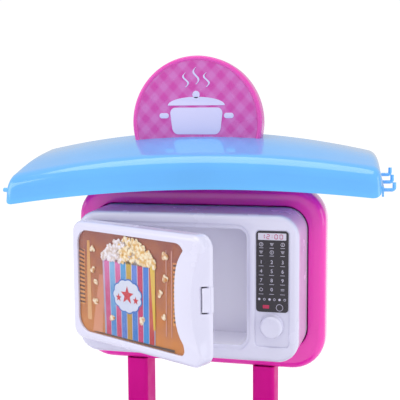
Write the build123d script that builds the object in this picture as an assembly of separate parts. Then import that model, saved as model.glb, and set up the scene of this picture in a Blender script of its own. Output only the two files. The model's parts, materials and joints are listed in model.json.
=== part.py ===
from build123d import *

import math
import os

# Free-standing toy kitchen: a cabinet with sink, hob, oven and cupboard, and above it, on two
# posts, a microwave set in a back panel under an arched canopy with a round sign.
# Millimetres, +Z up, front towards -Y, origin on the floor at the middle of the footprint.

# ---- fits and clearances --------------------------------------------------------------------
RUNNING_FIT = 0.08
SNUG_FIT = 0.04
NEST_GAP = 0.3
DOOR_GAP = 1.0

# ---- worktop and cabinet --------------------------------------------------------------------
WORKTOP_WIDTH = 540.0
WORKTOP_DEPTH = 300.0
WORKTOP_TOP = 445.0
WORKTOP_THICK = 25.0
WORKTOP_PLATE = 4.0
WORKTOP_SKIRT = 3.0
WORKTOP_CORNER = 18.0
WORKTOP_EDGE = 3.5
FOOT_HEIGHT = 12.0
FOOT_RADIUS = 15.0
FOOT_PEG_RADIUS = 4.0
FOOT_PEG_LENGTH = 5.0
FOOT_INSET = 25.0
FOOT_BEVEL = 2.0
SIDE_OVERHANG = 20.0
FRONT_OVERHANG = 18.0
BACK_OVERHANG = 8.0
PANEL_THICK = 8.0
BACK_THICK = 4.0
SIDE_EDGE = 3.0
FASCIA_HEIGHT = 48.0
FASCIA_THICK = 4.0
RAIL_DEPTH = 20.0
LEDGE_DEPTH = 6.0
LEDGE_THICK = 4.0
LEDGE_SETBACK = 24.0
RACK_HEIGHT = 170.0
RACK_BAR = 4.0
RACK_BARS = 9
RACK_FRONT_GAP = 30.0
RACK_BACK_GAP = 6.0

# ---- cabinet doors --------------------------------------------------------------------------
DOOR_THICK = 12.0
HINGE_PIN_RADIUS = 2.5
HINGE_PIN_IN_DOOR = 12.0
HINGE_PIN_IN_PANEL = 5.0
FLOOR_GAP = 2.5
OVEN_WINDOW_WIDTH = 150.0
OVEN_WINDOW_HEIGHT = 120.0
OVEN_WINDOW_CORNER = 14.0
OVEN_WINDOW_LIFT = 7.0
WINDOW_THICK = 3.0
WINDOW_LIP = 5.0
HANDLE_LENGTH = 120.0
HANDLE_BAR = 7.0
HANDLE_STANDOFF = 15.5
HANDLE_INSET = 30.0
HANDLE_FOOT_INSET = 8.0
HANDLE_FOOT_WIDTH = 10.0
HANDLE_FOOT_HEIGHT = 8.0
HANDLE_EDGE = 3.0
DOOR_PANEL_BORDER = 30.0
DOOR_PANEL_DEPTH = 2.0
DOOR_PANEL_CORNER = 14.0
CUPBOARD_HANDLE_INSET = 14.0

# ---- sink, tap and hob ----------------------------------------------------------------------
SINK_FROM_LEFT = 120.0
SINK_FROM_FRONT = 115.0
SINK_WIDTH = 140.0
SINK_LENGTH = 130.0
SINK_DEPTH = 70.0
SINK_WALL = 2.5
SINK_FLANGE = 8.0
SINK_CORNER = 18.0
SINK_BOTTOM_EDGE = 10.0
DRAIN_RADIUS = 14.0
DRAIN_RIM = 4.0
DRAIN_RIM_THICK = 1.5
DRAIN_HOLES = 8
DRAIN_HOLE_RADIUS = 1.6
DRAIN_HOLE_CIRCLE = 8.5
TAP_FROM_SINK = 97.0
TAP_COLUMN_RADIUS = 11.0
TAP_COLUMN_HEIGHT = 18.0
TAP_PLATE = 4.0
TAP_PLATE_WIDTH = 30.0
TAP_PLATE_CORNER = 14.0
LEVER_SPACING = 38.0
LEVER_COLUMN_RADIUS = 9.0
LEVER_COLUMN_HEIGHT = 14.0
LEVER_STEM_RADIUS = 3.0
LEVER_LENGTH = 30.0
LEVER_WIDTH = 8.0
LEVER_THICK = 6.0
LEVER_EDGE = 2.0
SPOUT_RADIUS = 6.0
SPOUT_BORE = 4.0
SPOUT_RISE = 44.0
SPOUT_REACH = 72.0
SPOUT_DROP = 10.0
SPOUT_BEND = 18.0
SPOUT_COLLAR = 3.0
HOB_FROM_RIGHT = 130.0
HOB_WIDTH = 190.0
HOB_LENGTH = 150.0
HOB_THICK = 3.0
HOB_CORNER = 12.0
HOB_EDGE = 1.0
BURNER_RADII = (38.0, 30.0)
BURNER_SPACING = 90.0
BURNER_HEIGHT = 3.0
BURNER_BASE = 1.0
BURNER_RINGS = 3

# ---- knobs ----------------------------------------------------------------------------------
KNOB_RADIUS = 14.5
KNOB_HEIGHT = 11.0
KNOB_EDGE = 2.5
SPINDLE_RADIUS = 3.0
SPINDLE_BARB = 0.8
SPINDLE_SLIT = 1.2
FASCIA_KNOB_INSET = 52.0
FASCIA_KNOB_SPACING = 65.0
FASCIA_KNOB_HEIGHT = 15.0

# ---- posts ----------------------------------------------------------------------------------
POST_X = 89.3
POST_WIDTH = 29.8
POST_DEPTH = 42.5
POST_SETBACK = 1.0
POST_WALL = 2.5
POST_CORNER = 5.0
SOCKET_WALL = 3.0
UPRIGHT_WIDTH = 22.0
UPRIGHT_DEPTH = 26.0
UPRIGHT_OVERLAP = 90.0
UPRIGHT_CORNER = 3.0
UPRIGHT_WALL = 2.0
POST_SEAT_HEIGHT = 6.0

# ---- back panel of the upper unit -------------------------------------------------------------
BACK_PANEL_SIDE_BORDER = 26.0
BACK_PANEL_LOW_BORDER = 30.0
BACK_PANEL_TOP_BORDER = 27.8
BACK_PANEL_FROM_BACK = 60.0
BACK_PANEL_DEPTH = 44.0
BACK_PANEL_CORNER = 45.0
BACK_PANEL_EDGE = 8.0
SHELL_WALL = 3.0
BOSS_RADIUS = 4.5
BOSS_XS = 60.0
BOSS_SIDE_INSET = 10.0
BOSS_END_INSET = 12.0
BOSS_PILOT_DEPTH = 9.0
COVER_SCREW_LENGTH = 9.0

# ---- microwave ------------------------------------------------------------------------------
HOUSING_WIDTH = 290.0
HOUSING_HEIGHT = 185.2
HOUSING_LIFT = 170.0
HOUSING_DEPTH = 71.6
HOUSING_CORNER = 27.0
HOUSING_DRAFT = 1.9
HOUSING_EDGE = 5.0
HOUSING_FRONT_WALL = 4.0
HOUSING_SEAM = 1.3
FLANGE_THICK = 2.5
FLANGE_REACH = 4.0
TAB_WIDTH = 16.0
TAB_HEIGHT = 16.0
TAB_SPREAD = 60.0
TAB_SCREW_LENGTH = 4.0
CAVITY_LEFT_BORDER = 23.0
CAVITY_RIGHT_BORDER = 65.0
CAVITY_LOW_BORDER = 19.0
CAVITY_TOP_BORDER = 17.5
CAVITY_BACK_SPACE = 5.6
CAVITY_CORNER = 12.0
LINER_FLANGE = 8.0
LINER_FLANGE_THICK = 2.0
LINER_WALL = 2.5
RECESS_STEP = 2.0
DOOR_RECESS_MARGIN = 5.5
DOOR_RECESS_SHIFT = 2.0
CONTROL_WIDTH = 42.4
CONTROL_RIGHT_BORDER = 11.5
CONTROL_END_INSET = 1.0
CONTROL_CORNER = 5.0
LABEL_SIDE_GAP = 1.0
LABEL_TOP_GAP = 0.5
LABEL_HEIGHT = 102.0
LABEL_THICK = 0.5
TIMER_FROM_BOTTOM = 26.8

# ---- microwave door, drawn closed and swung to its rest angle -----------------------------------
MDOOR_LEFT_BORDER = 2.7
MDOOR_LOW_BORDER = 23.0
MDOOR_TOP_BORDER = 9.7
MDOOR_OVERLAP = 1.7
MDOOR_DEPTH = 21.0
MDOOR_BACK_GAP = 0.5
MDOOR_WALL = 2.4
MDOOR_CORNER = 16.0
MDOOR_EDGE = 4.0
MDOOR_REST_ANGLE = 27.8
MDOOR_AXIS_INSET = 8.8
MDOOR_SCOOP_RADIUS = 150.0
MDOOR_SCOOP_DEPTH = 18.0
WINDOW_LEFT_INSET = 11.0
WINDOW_RIGHT_INSET = 36.0
WINDOW_EDGE_INSET = 11.0
WINDOW_CORNER = 12.0
PICTURE_THICK = 0.8
PICTURE_MARGIN = 4.0
MDOOR_PIN_RADIUS = 2.0
MDOOR_PIN_BOSS = 5.0
MDOOR_PIN_LENGTH = 22.0
KNUCKLE_RADIUS = 3.6
KNUCKLE_HEIGHT = 7.0
KNUCKLE_INSET = 17.0
KNUCKLE_GAP = 0.8
CATCH_HEIGHT = 30.0
CATCH_LIFT = 2.0
CATCH_LENGTH = 13.0
CATCH_THICK = 1.6

# ---- canopy and sign ------------------------------------------------------------------------
CANOPY_REACH = 80.0
CANOPY_BACK_REACH = 41.0
CANOPY_FRONT_HALF = 244.0
CANOPY_BACK_HALF = 232.0
CANOPY_LIP_LIFT = 3.0
CANOPY_LIP_FALL = 16.0
CANOPY_LIP_HEIGHT = 41.0
CANOPY_RIDGE_FALL = 22.0
CANOPY_RISE = 30.0
CANOPY_BACK_FALL = 27.0
CANOPY_BACK_HEIGHT = 48.0
CANOPY_RAKE = 4.0
CANOPY_EDGE = 9.0
CANOPY_WALL = 3.0
CANOPY_STATIONS = 7
CROSSBAR_END = 11.7
CROSSBAR_HEIGHT = 18.0
CROSSBAR_DROP = 22.0
CANOPY_BOSS_X = 55.0
CANOPY_PILOT_DEPTH = 8.0
CANOPY_SCREW_LENGTH = 9.0
HOOK_COUNT = 3
HOOK_FIRST = 18.0
HOOK_SPACING = 32.0
HOOK_DROP = 20.0
HOOK_REACH = 15.0
HOOK_TIP = 9.0
HOOK_RADIUS = 2.25
HOOK_PLATE = 2.5
HOOK_PLATE_HEIGHT = 12.0
HOOK_PLATE_END = 8.0
HOOK_BEND = 3.0
PEG_FROM_FRONT = 6.0
PEG_RADIUS = 3.0
PEG_REACH = 3.0
SIGN_RADIUS = 87.4
SIGN_LIFT = 10.6
SIGN_SETBACK = 4.0
SIGN_FACE_DEPTH = 13.0
SIGN_BACK_DEPTH = 6.0
SIGN_RIM = 7.0
SIGN_RIM_STEP = 1.5
SIGN_EDGE = 2.0
SIGN_TENON_WIDTH = 60.0
SIGN_TENON_DEPTH = 9.0
SIGN_TENON_SETBACK = 2.0

# ---- screws ---------------------------------------------------------------------------------
SCREW_RADIUS = 1.5
SCREW_HEAD_RADIUS = 3.5
SCREW_HEAD_HEIGHT = 2.0
SCREW_SLOT = 0.8
SCREW_SLOT_DEPTH = 0.6
SCREW_HOLE_GAP = 0.3

# ---- values that follow from the ones above -----------------------------------------------------
HALF_WIDTH = WORKTOP_WIDTH / 2
HALF_DEPTH = WORKTOP_DEPTH / 2
WORKTOP_LOW = WORKTOP_TOP - WORKTOP_THICK
PLATE_LOW = WORKTOP_TOP - WORKTOP_PLATE
CABINET_HALF = HALF_WIDTH - SIDE_OVERHANG
CABINET_INNER = CABINET_HALF - PANEL_THICK
CABINET_FRONT = -HALF_DEPTH + FRONT_OVERHANG
CABINET_BACK = HALF_DEPTH - BACK_OVERHANG
FLOOR_TOP = FOOT_HEIGHT + PANEL_THICK
FASCIA_LOW = WORKTOP_LOW - FASCIA_HEIGHT
FASCIA_KNOB_XS = [CABINET_INNER - FASCIA_KNOB_INSET - FASCIA_KNOB_SPACING * place for place in (2, 1, 0)]
DOOR_BOTTOM = FLOOR_TOP + FLOOR_GAP
DOOR_TOP = FASCIA_LOW - FLOOR_GAP
DOOR_BACK = CABINET_FRONT + DOOR_THICK
DOOR_AXIS_Y = CABINET_FRONT + DOOR_THICK / 2
DIVIDER_HALF = PANEL_THICK / 2
SINK_X = -HALF_WIDTH + SINK_FROM_LEFT
SINK_Y = -HALF_DEPTH + SINK_FROM_FRONT
SINK_FLANGE_TOP = WORKTOP_TOP + SINK_WALL
TAP_Y = SINK_Y + TAP_FROM_SINK
HOB_X = HALF_WIDTH - HOB_FROM_RIGHT
HOUSING_BOTTOM = WORKTOP_TOP + HOUSING_LIFT
HOUSING_TOP = HOUSING_BOTTOM + HOUSING_HEIGHT
HOUSING_MIDDLE = HOUSING_BOTTOM + HOUSING_HEIGHT / 2
BACK_PANEL_WIDTH = HOUSING_WIDTH + 2 * BACK_PANEL_SIDE_BORDER
BACK_PANEL_BOTTOM = HOUSING_BOTTOM - BACK_PANEL_LOW_BORDER
BACK_PANEL_TOP = HOUSING_TOP + BACK_PANEL_TOP_BORDER
BACK_PANEL_FRONT = HALF_DEPTH - BACK_PANEL_FROM_BACK
BACK_PANEL_BACK = BACK_PANEL_FRONT + BACK_PANEL_DEPTH
BACK_PANEL_MIDDLE = (BACK_PANEL_TOP + BACK_PANEL_BOTTOM) / 2
BACK_PANEL_HEIGHT = BACK_PANEL_TOP - BACK_PANEL_BOTTOM
PANEL_WALL_BACK = BACK_PANEL_FRONT + SHELL_WALL
COVER_FRONT = BACK_PANEL_BACK - SHELL_WALL
POST_FOOT = WORKTOP_LOW + SOCKET_WALL
POST_MIDDLE_Y = BACK_PANEL_FRONT + POST_SETBACK + POST_DEPTH / 2
HOUSING_FRONT = BACK_PANEL_FRONT - HOUSING_DEPTH
HOUSING_GROWTH = (PANEL_WALL_BACK - HOUSING_FRONT) * math.tan(math.radians(HOUSING_DRAFT))
HOUSING_INNER_FRONT = HOUSING_FRONT + HOUSING_FRONT_WALL
FLANGE_BACK = PANEL_WALL_BACK + FLANGE_THICK
TAB_X = HOUSING_WIDTH / 2 + HOUSING_GROWTH + TAB_WIDTH / 2
CAVITY_LEFT = -HOUSING_WIDTH / 2 + CAVITY_LEFT_BORDER
CAVITY_RIGHT = HOUSING_WIDTH / 2 - CAVITY_RIGHT_BORDER
CAVITY_BOTTOM = HOUSING_BOTTOM + CAVITY_LOW_BORDER
CAVITY_TOP = HOUSING_TOP - CAVITY_TOP_BORDER
CAVITY_X = (CAVITY_LEFT + CAVITY_RIGHT) / 2
CAVITY_Z = (CAVITY_BOTTOM + CAVITY_TOP) / 2
LINER_BACK = BACK_PANEL_FRONT - CAVITY_BACK_SPACE
RECESS_FLOOR = HOUSING_FRONT + RECESS_STEP
CONTROL_RIGHT = HOUSING_WIDTH / 2 - CONTROL_RIGHT_BORDER
CONTROL_X = CONTROL_RIGHT - CONTROL_WIDTH / 2
CONTROL_BOTTOM = CAVITY_BOTTOM + CONTROL_END_INSET
CONTROL_TOP = CAVITY_TOP - CONTROL_END_INSET
CONTROL_HEIGHT = CONTROL_TOP - CONTROL_BOTTOM
CONTROL_Z = (CONTROL_TOP + CONTROL_BOTTOM) / 2
LABEL_Z = CONTROL_TOP - LABEL_TOP_GAP - LABEL_HEIGHT / 2
TIMER_Z = CONTROL_BOTTOM + TIMER_FROM_BOTTOM
MDOOR_BACK = HOUSING_FRONT - MDOOR_BACK_GAP
MDOOR_FRONT = MDOOR_BACK - MDOOR_DEPTH
MDOOR_LEFT = -HOUSING_WIDTH / 2 + MDOOR_LEFT_BORDER
MDOOR_RIGHT = CAVITY_RIGHT + MDOOR_OVERLAP
MDOOR_WIDTH = MDOOR_RIGHT - MDOOR_LEFT
MDOOR_BOTTOM = HOUSING_BOTTOM + MDOOR_LOW_BORDER
MDOOR_TOP = HOUSING_TOP - MDOOR_TOP_BORDER
MDOOR_HEIGHT = MDOOR_TOP - MDOOR_BOTTOM
MDOOR_X = (MDOOR_LEFT + MDOOR_RIGHT) / 2
MDOOR_Z = (MDOOR_TOP + MDOOR_BOTTOM) / 2
MDOOR_AXIS_X = MDOOR_LEFT + MDOOR_AXIS_INSET
MDOOR_AXIS_Y = MDOOR_FRONT + MDOOR_DEPTH / 2
MDOOR_PANEL_FRONT = MDOOR_BACK - MDOOR_WALL
PICTURE_FRONT = MDOOR_FRONT + MDOOR_WALL
WINDOW_WIDTH = MDOOR_WIDTH - WINDOW_LEFT_INSET - WINDOW_RIGHT_INSET
WINDOW_HEIGHT = MDOOR_HEIGHT - 2 * WINDOW_EDGE_INSET
WINDOW_X = MDOOR_LEFT + WINDOW_LEFT_INSET + WINDOW_WIDTH / 2
KNUCKLE_ZS = (MDOOR_BOTTOM + KNUCKLE_INSET, MDOOR_TOP - KNUCKLE_INSET)
CATCH_Z = MDOOR_Z + CATCH_LIFT
CANOPY_FRONT_Y = BACK_PANEL_FRONT - CANOPY_REACH
CANOPY_BACK_Y = BACK_PANEL_FRONT + CANOPY_BACK_REACH
CANOPY_LIP_Z = BACK_PANEL_TOP + CANOPY_LIP_LIFT
CANOPY_RIDGE_Z = CANOPY_LIP_Z + CANOPY_LIP_HEIGHT
CANOPY_BACK_Z = CANOPY_RIDGE_Z + CANOPY_RISE
CROSSBAR_TOP = CANOPY_BACK_Z - CROSSBAR_DROP
CROSSBAR_LOW = CROSSBAR_TOP - CROSSBAR_HEIGHT
CROSSBAR_HALF = POST_X + UPRIGHT_WIDTH / 2 + CROSSBAR_END
UPRIGHT_TOP = CROSSBAR_TOP - SOCKET_WALL
UPRIGHT_FOOT = BACK_PANEL_BOTTOM - UPRIGHT_OVERLAP
SIGN_Z = CANOPY_BACK_Z + SIGN_LIFT
SIGN_FRONT = BACK_PANEL_FRONT + SIGN_SETBACK
SIGN_MIDDLE = SIGN_FRONT + SIGN_FACE_DEPTH
SIGN_BACK = SIGN_MIDDLE + SIGN_BACK_DEPTH
TENON_FRONT = SIGN_FRONT + SIGN_TENON_SETBACK

parts = {}


# ---- shapes used by many pieces ---------------------------------------------------------------
def block(x_low, x_high, y_low, y_high, z_low, z_high):
    """Box between two corners."""
    middle = ((x_low + x_high) / 2, (y_low + y_high) / 2, (z_low + z_high) / 2)
    return Pos(*middle) * Box(x_high - x_low, y_high - y_low, z_high - z_low)


def upright_prism(outline, x, y, z_low, z_high):
    """Flat outline drawn in plan, raised from z_low to z_high."""
    return Pos(x, y, z_low) * extrude(outline, z_high - z_low)


def front_prism(outline, x, z, y_front, y_back, taper=0.0):
    """Outline drawn in front view, running back from y_front to y_back."""
    face = Plane(origin=(x, y_front, z), x_dir=(-1, 0, 0), z_dir=(0, 1, 0)) * outline
    return extrude(face, y_back - y_front, taper=taper)


def rod_x(radius, x_low, x_high, y, z):
    """Round bar along X."""
    return Pos((x_low + x_high) / 2, y, z) * Rot(0, 90, 0) * Cylinder(radius, x_high - x_low)


def rod_y(radius, y_low, y_high, x, z):
    """Round bar along Y."""
    return Pos(x, (y_low + y_high) / 2, z) * Rot(90, 0, 0) * Cylinder(radius, y_high - y_low)


def rod_z(radius, z_low, z_high, x, y):
    """Round bar along Z."""
    return Pos(x, y, (z_low + z_high) / 2) * Cylinder(radius, z_high - z_low)


def rounded_slab(width, height, radius, x, z, y_front, y_back, edge):
    """Rounded rectangle seen from the front, with its front edge rounded off."""
    slab = front_prism(RectangleRounded(width, height, radius), x, z, y_front, y_back)
    return fillet(slab.faces().sort_by(Axis.Y)[0].edges(), edge)


def screw(length):
    """Slotted pan-head screw along -Z, with the head's underside at the origin."""
    head = Pos(0, 0, SCREW_HEAD_HEIGHT / 2) * Cylinder(SCREW_HEAD_RADIUS, SCREW_HEAD_HEIGHT)
    shank = Pos(0, 0, -length / 2) * Cylinder(SCREW_RADIUS, length)
    slot = Pos(0, 0, SCREW_HEAD_HEIGHT) * Box(2 * SCREW_HEAD_RADIUS, SCREW_SLOT, 2 * SCREW_SLOT_DEPTH)
    return head + shank - slot


def snap_knob(x, z, y_wall_front, wall, height):
    """Round knob on a snap-in spindle that turns in a wall whose front face is y_wall_front."""
    y_back = y_wall_front - NEST_GAP
    y_front = y_back - height
    knob = rod_y(KNOB_RADIUS, y_front, y_back, x, z)
    knob = fillet(knob.faces().sort_by(Axis.Y)[0].edges(), KNOB_EDGE)
    y_tip = y_wall_front + wall + NEST_GAP
    spindle = rod_y(SPINDLE_RADIUS, y_back, y_tip + 4, x, z)
    barb = rod_y(SPINDLE_RADIUS + SPINDLE_BARB, y_tip, y_tip + 3, x, z)
    slit_half = SPINDLE_SLIT / 2
    slit = block(
        x - slit_half, x + slit_half, y_wall_front + wall / 2, y_tip + 5,
        z - KNOB_RADIUS / 2, z + KNOB_RADIUS / 2,
    )
    return knob + (spindle + barb - slit)


def spindle_hole(x, z, y_low, y_high):
    """Bore in which a knob's spindle runs."""
    return rod_y(SPINDLE_RADIUS + RUNNING_FIT, y_low, y_high, x, z)


# ---- cabinet --------------------------------------------------------------------------------
def oven_pins():
    """The two pins that the oven door tips on, one at each end."""
    z = DOOR_BOTTOM + DOOR_THICK / 2
    span = HINGE_PIN_IN_PANEL + DOOR_GAP + HINGE_PIN_IN_DOOR
    left = DIVIDER_HALF - HINGE_PIN_IN_PANEL
    right = CABINET_INNER + HINGE_PIN_IN_PANEL
    return left, right, span, z


def cupboard_pins():
    """The place of the cupboard door's upright pins, and their reach."""
    x = -CABINET_INNER + DOOR_GAP + DOOR_THICK / 2
    span = HINGE_PIN_IN_PANEL + FLOOR_GAP + HINGE_PIN_IN_DOOR
    low = FLOOR_TOP - HINGE_PIN_IN_PANEL
    high = FASCIA_LOW + HINGE_PIN_IN_PANEL
    return x, low, high, span


def hinge_pins():
    left, right, span, oven_z = oven_pins()
    parts["oven_hinge_pins"] = Compound(
        children=[
            rod_x(HINGE_PIN_RADIUS, left, left + span, DOOR_AXIS_Y, oven_z),
            rod_x(HINGE_PIN_RADIUS, right - span, right, DOOR_AXIS_Y, oven_z),
        ]
    )
    x, low, high, span = cupboard_pins()
    parts["cupboard_hinge_pins"] = Compound(
        children=[
            rod_z(HINGE_PIN_RADIUS, low, low + span, x, DOOR_AXIS_Y),
            rod_z(HINGE_PIN_RADIUS, high - span, high, x, DOOR_AXIS_Y),
        ]
    )


def oven_pin_holes(clearance):
    left, right, span, z = oven_pins()
    radius = HINGE_PIN_RADIUS + clearance
    low = rod_x(radius, left, left + span + clearance, DOOR_AXIS_Y, z)
    return low + rod_x(radius, right - span - clearance, right, DOOR_AXIS_Y, z)


def cupboard_pin_holes(clearance):
    x, low, high, span = cupboard_pins()
    radius = HINGE_PIN_RADIUS + clearance
    bottom = rod_z(radius, low, low + span + clearance, x, DOOR_AXIS_Y)
    return bottom + rod_z(radius, high - span - clearance, high, x, DOOR_AXIS_Y)


def rack_ledge(x_low, x_high):
    z = FLOOR_TOP + RACK_HEIGHT
    return block(
        x_low, x_high, CABINET_FRONT + LEDGE_SETBACK, CABINET_BACK - BACK_THICK, z - LEDGE_THICK, z
    )


def cabinet():
    for name, sign in (("cabinet_side_left", -1), ("cabinet_side_right", 1)):
        x_low, x_high = sorted((sign * CABINET_INNER, sign * CABINET_HALF))
        side = block(x_low, x_high, CABINET_FRONT, CABINET_BACK, FOOT_HEIGHT, PLATE_LOW)
        outer = side.edges().filter_by(Axis.Z).sort_by(Axis.X)
        outer = outer[:2] if sign < 0 else outer[-2:]
        side = fillet(outer, SIDE_EDGE)
        if sign > 0:
            side += rack_ledge(CABINET_INNER - LEDGE_DEPTH, CABINET_INNER)
        parts[name] = side - oven_pin_holes(SNUG_FIT)

    divider = block(
        -DIVIDER_HALF, DIVIDER_HALF, CABINET_FRONT, CABINET_BACK - BACK_THICK, FLOOR_TOP, FASCIA_LOW
    )
    divider += rack_ledge(DIVIDER_HALF, DIVIDER_HALF + LEDGE_DEPTH)
    parts["cabinet_divider"] = divider - oven_pin_holes(SNUG_FIT)

    floor = block(
        -CABINET_INNER, CABINET_INNER, CABINET_FRONT, CABINET_BACK - BACK_THICK, FOOT_HEIGHT, FLOOR_TOP
    )
    for x, y in foot_places():
        floor -= rod_z(FOOT_PEG_RADIUS + SNUG_FIT, FOOT_HEIGHT, FOOT_HEIGHT + FOOT_PEG_LENGTH, x, y)
    parts["cabinet_floor"] = floor - cupboard_pin_holes(SNUG_FIT)

    parts["cabinet_back"] = block(
        -CABINET_INNER, CABINET_INNER, CABINET_BACK - BACK_THICK, CABINET_BACK, FOOT_HEIGHT, PLATE_LOW
    )
    fascia()
    feet()


def fascia():
    plate = block(
        -CABINET_INNER, CABINET_INNER, CABINET_FRONT, CABINET_FRONT + FASCIA_THICK, FASCIA_LOW, WORKTOP_LOW
    )
    rail = block(
        -CABINET_INNER, CABINET_INNER, CABINET_FRONT, CABINET_FRONT + RAIL_DEPTH,
        FASCIA_LOW, FASCIA_LOW + PANEL_THICK,
    )
    body = plate + rail
    z = FASCIA_LOW + FASCIA_HEIGHT / 2
    for x in FASCIA_KNOB_XS:
        body -= spindle_hole(x, z, CABINET_FRONT - 1, CABINET_FRONT + FASCIA_THICK + 1)
    parts["fascia"] = body - cupboard_pin_holes(SNUG_FIT)
    for name, x in zip(("hob_knob_left", "hob_knob_right", "oven_knob"), FASCIA_KNOB_XS):
        parts[name] = snap_knob(x, z, CABINET_FRONT, FASCIA_THICK, FASCIA_KNOB_HEIGHT)


def foot_places():
    x = CABINET_HALF - FOOT_INSET
    return [
        (sign * x, y)
        for sign in (-1, 1)
        for y in (CABINET_FRONT + FOOT_INSET, CABINET_BACK - FOOT_INSET)
    ]


def feet():
    solids = []
    for x, y in foot_places():
        pad = rod_z(FOOT_RADIUS, 0, FOOT_HEIGHT, x, y)
        pad = chamfer(pad.faces().sort_by(Axis.Z)[0].edges(), FOOT_BEVEL)
        peg_top = FOOT_HEIGHT + FOOT_PEG_LENGTH - NEST_GAP
        solids.append(pad + rod_z(FOOT_PEG_RADIUS, FOOT_HEIGHT, peg_top, x, y))
    parts["feet"] = Compound(children=solids)


# ---- cabinet doors --------------------------------------------------------------------------
def bar_handle(length):
    """Bar on two standoffs, along X, standing out towards -Y from y = 0."""
    reach = HANDLE_STANDOFF
    bar = Pos(0, -reach + HANDLE_BAR / 2, 0) * Box(length, HANDLE_BAR, HANDLE_BAR * 1.6)
    bar = fillet(bar.edges().filter_by(Axis.X), HANDLE_EDGE)
    foot_half = HANDLE_FOOT_WIDTH / 2
    foot_rise = HANDLE_FOOT_HEIGHT / 2
    for sign in (-1, 1):
        x = sign * (length / 2 - HANDLE_FOOT_INSET)
        bar += block(x - foot_half, x + foot_half, -reach + HANDLE_BAR / 2, 0, -foot_rise, foot_rise)
    return bar


def oven_pane_outline(grow):
    return RectangleRounded(
        OVEN_WINDOW_WIDTH + 2 * grow, OVEN_WINDOW_HEIGHT + 2 * grow, OVEN_WINDOW_CORNER + grow
    )


def oven_door():
    x_low = DIVIDER_HALF + DOOR_GAP
    x_high = CABINET_INNER - DOOR_GAP
    x_middle = (x_low + x_high) / 2
    y_back = CABINET_FRONT + DOOR_THICK
    slab = block(x_low, x_high, CABINET_FRONT, y_back, DOOR_BOTTOM, DOOR_TOP)
    slab = fillet(slab.faces().sort_by(Axis.Z)[0].edges().filter_by(Axis.X), DOOR_THICK / 2 - 0.01)
    window_z = (DOOR_BOTTOM + DOOR_TOP) / 2 + OVEN_WINDOW_LIFT
    hole = oven_pane_outline(0)
    seat = oven_pane_outline(WINDOW_LIP)
    pane = oven_pane_outline(WINDOW_LIP - NEST_GAP)
    pane_front = y_back - WINDOW_THICK
    slab -= front_prism(hole, x_middle, window_z, CABINET_FRONT - 1, y_back + 1)
    slab -= front_prism(seat, x_middle, window_z, pane_front, y_back + 1)
    parts["oven_window"] = front_prism(pane, x_middle, window_z, pane_front, y_back)
    handle_z = DOOR_TOP - HANDLE_INSET
    handle = Pos(x_middle, CABINET_FRONT, handle_z) * bar_handle(HANDLE_LENGTH)
    screws = []
    for sign in (-1, 1):
        x = x_middle + sign * (HANDLE_LENGTH / 2 - HANDLE_FOOT_INSET)
        pilot = rod_y(SCREW_RADIUS + SNUG_FIT, CABINET_FRONT - 5, y_back, x, handle_z)
        slab -= pilot
        handle -= pilot
        screws.append(Pos(x, y_back, handle_z) * Rot(-90, 0, 0) * screw(DOOR_THICK + 4))
    parts["oven_door"] = slab - oven_pin_holes(RUNNING_FIT)
    parts["oven_handle"] = handle
    parts["oven_handle_screws"] = Compound(children=screws)


def cupboard_door():
    x_low = -CABINET_INNER + DOOR_GAP
    x_high = -DIVIDER_HALF - DOOR_GAP
    y_back = CABINET_FRONT + DOOR_THICK
    slab = block(x_low, x_high, CABINET_FRONT, y_back, DOOR_BOTTOM, DOOR_TOP)
    slab = fillet(slab.faces().sort_by(Axis.X)[0].edges().filter_by(Axis.Z), DOOR_THICK / 2 - 0.01)
    panel_x = (x_low + x_high) / 2
    panel_z = (DOOR_BOTTOM + DOOR_TOP) / 2
    width = x_high - x_low - 2 * DOOR_PANEL_BORDER
    height = DOOR_TOP - DOOR_BOTTOM - 2 * DOOR_PANEL_BORDER
    panel = RectangleRounded(width, height, DOOR_PANEL_CORNER)
    slab -= front_prism(panel, panel_x, panel_z, CABINET_FRONT - 1, CABINET_FRONT + DOOR_PANEL_DEPTH)
    handle_x = x_high - CUPBOARD_HANDLE_INSET
    handle_z = DOOR_TOP - HANDLE_INSET - HANDLE_LENGTH / 2
    handle = Pos(handle_x, CABINET_FRONT, handle_z) * Rot(0, 90, 0) * bar_handle(HANDLE_LENGTH)
    screws = []
    for sign in (-1, 1):
        z = handle_z + sign * (HANDLE_LENGTH / 2 - HANDLE_FOOT_INSET)
        pilot = rod_y(SCREW_RADIUS + SNUG_FIT, CABINET_FRONT - 5, y_back, handle_x, z)
        slab -= pilot
        handle -= pilot
        screws.append(Pos(handle_x, y_back, z) * Rot(-90, 0, 0) * screw(DOOR_THICK + 4))
    parts["cupboard_door"] = slab - cupboard_pin_holes(RUNNING_FIT)
    parts["cupboard_handle"] = handle
    parts["cupboard_handle_screws"] = Compound(children=screws)


def oven_rack():
    """Wire shelf that slides onto the two ledges."""
    x_low = DIVIDER_HALF + DOOR_GAP
    x_high = CABINET_INNER - DOOR_GAP
    y_low = CABINET_FRONT + RACK_FRONT_GAP
    y_high = CABINET_BACK - BACK_THICK - RACK_BACK_GAP
    z_low = FLOOR_TOP + RACK_HEIGHT
    z_high = z_low + RACK_BAR
    rack = block(x_low, x_high, y_low, y_low + RACK_BAR, z_low, z_high)
    rack += block(x_low, x_high, y_high - RACK_BAR, y_high, z_low, z_high)
    pitch = (x_high - x_low - RACK_BAR) / (RACK_BARS - 1)
    for index in range(RACK_BARS):
        x = x_low + pitch * index
        rack += block(x, x + RACK_BAR, y_low, y_high, z_low, z_high)
    parts["oven_rack"] = rack


# ---- worktop, sink, tap and hob ---------------------------------------------------------------
def post_outline(gap):
    return RectangleRounded(POST_WIDTH + 2 * gap, POST_DEPTH + 2 * gap, POST_CORNER + gap)


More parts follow.
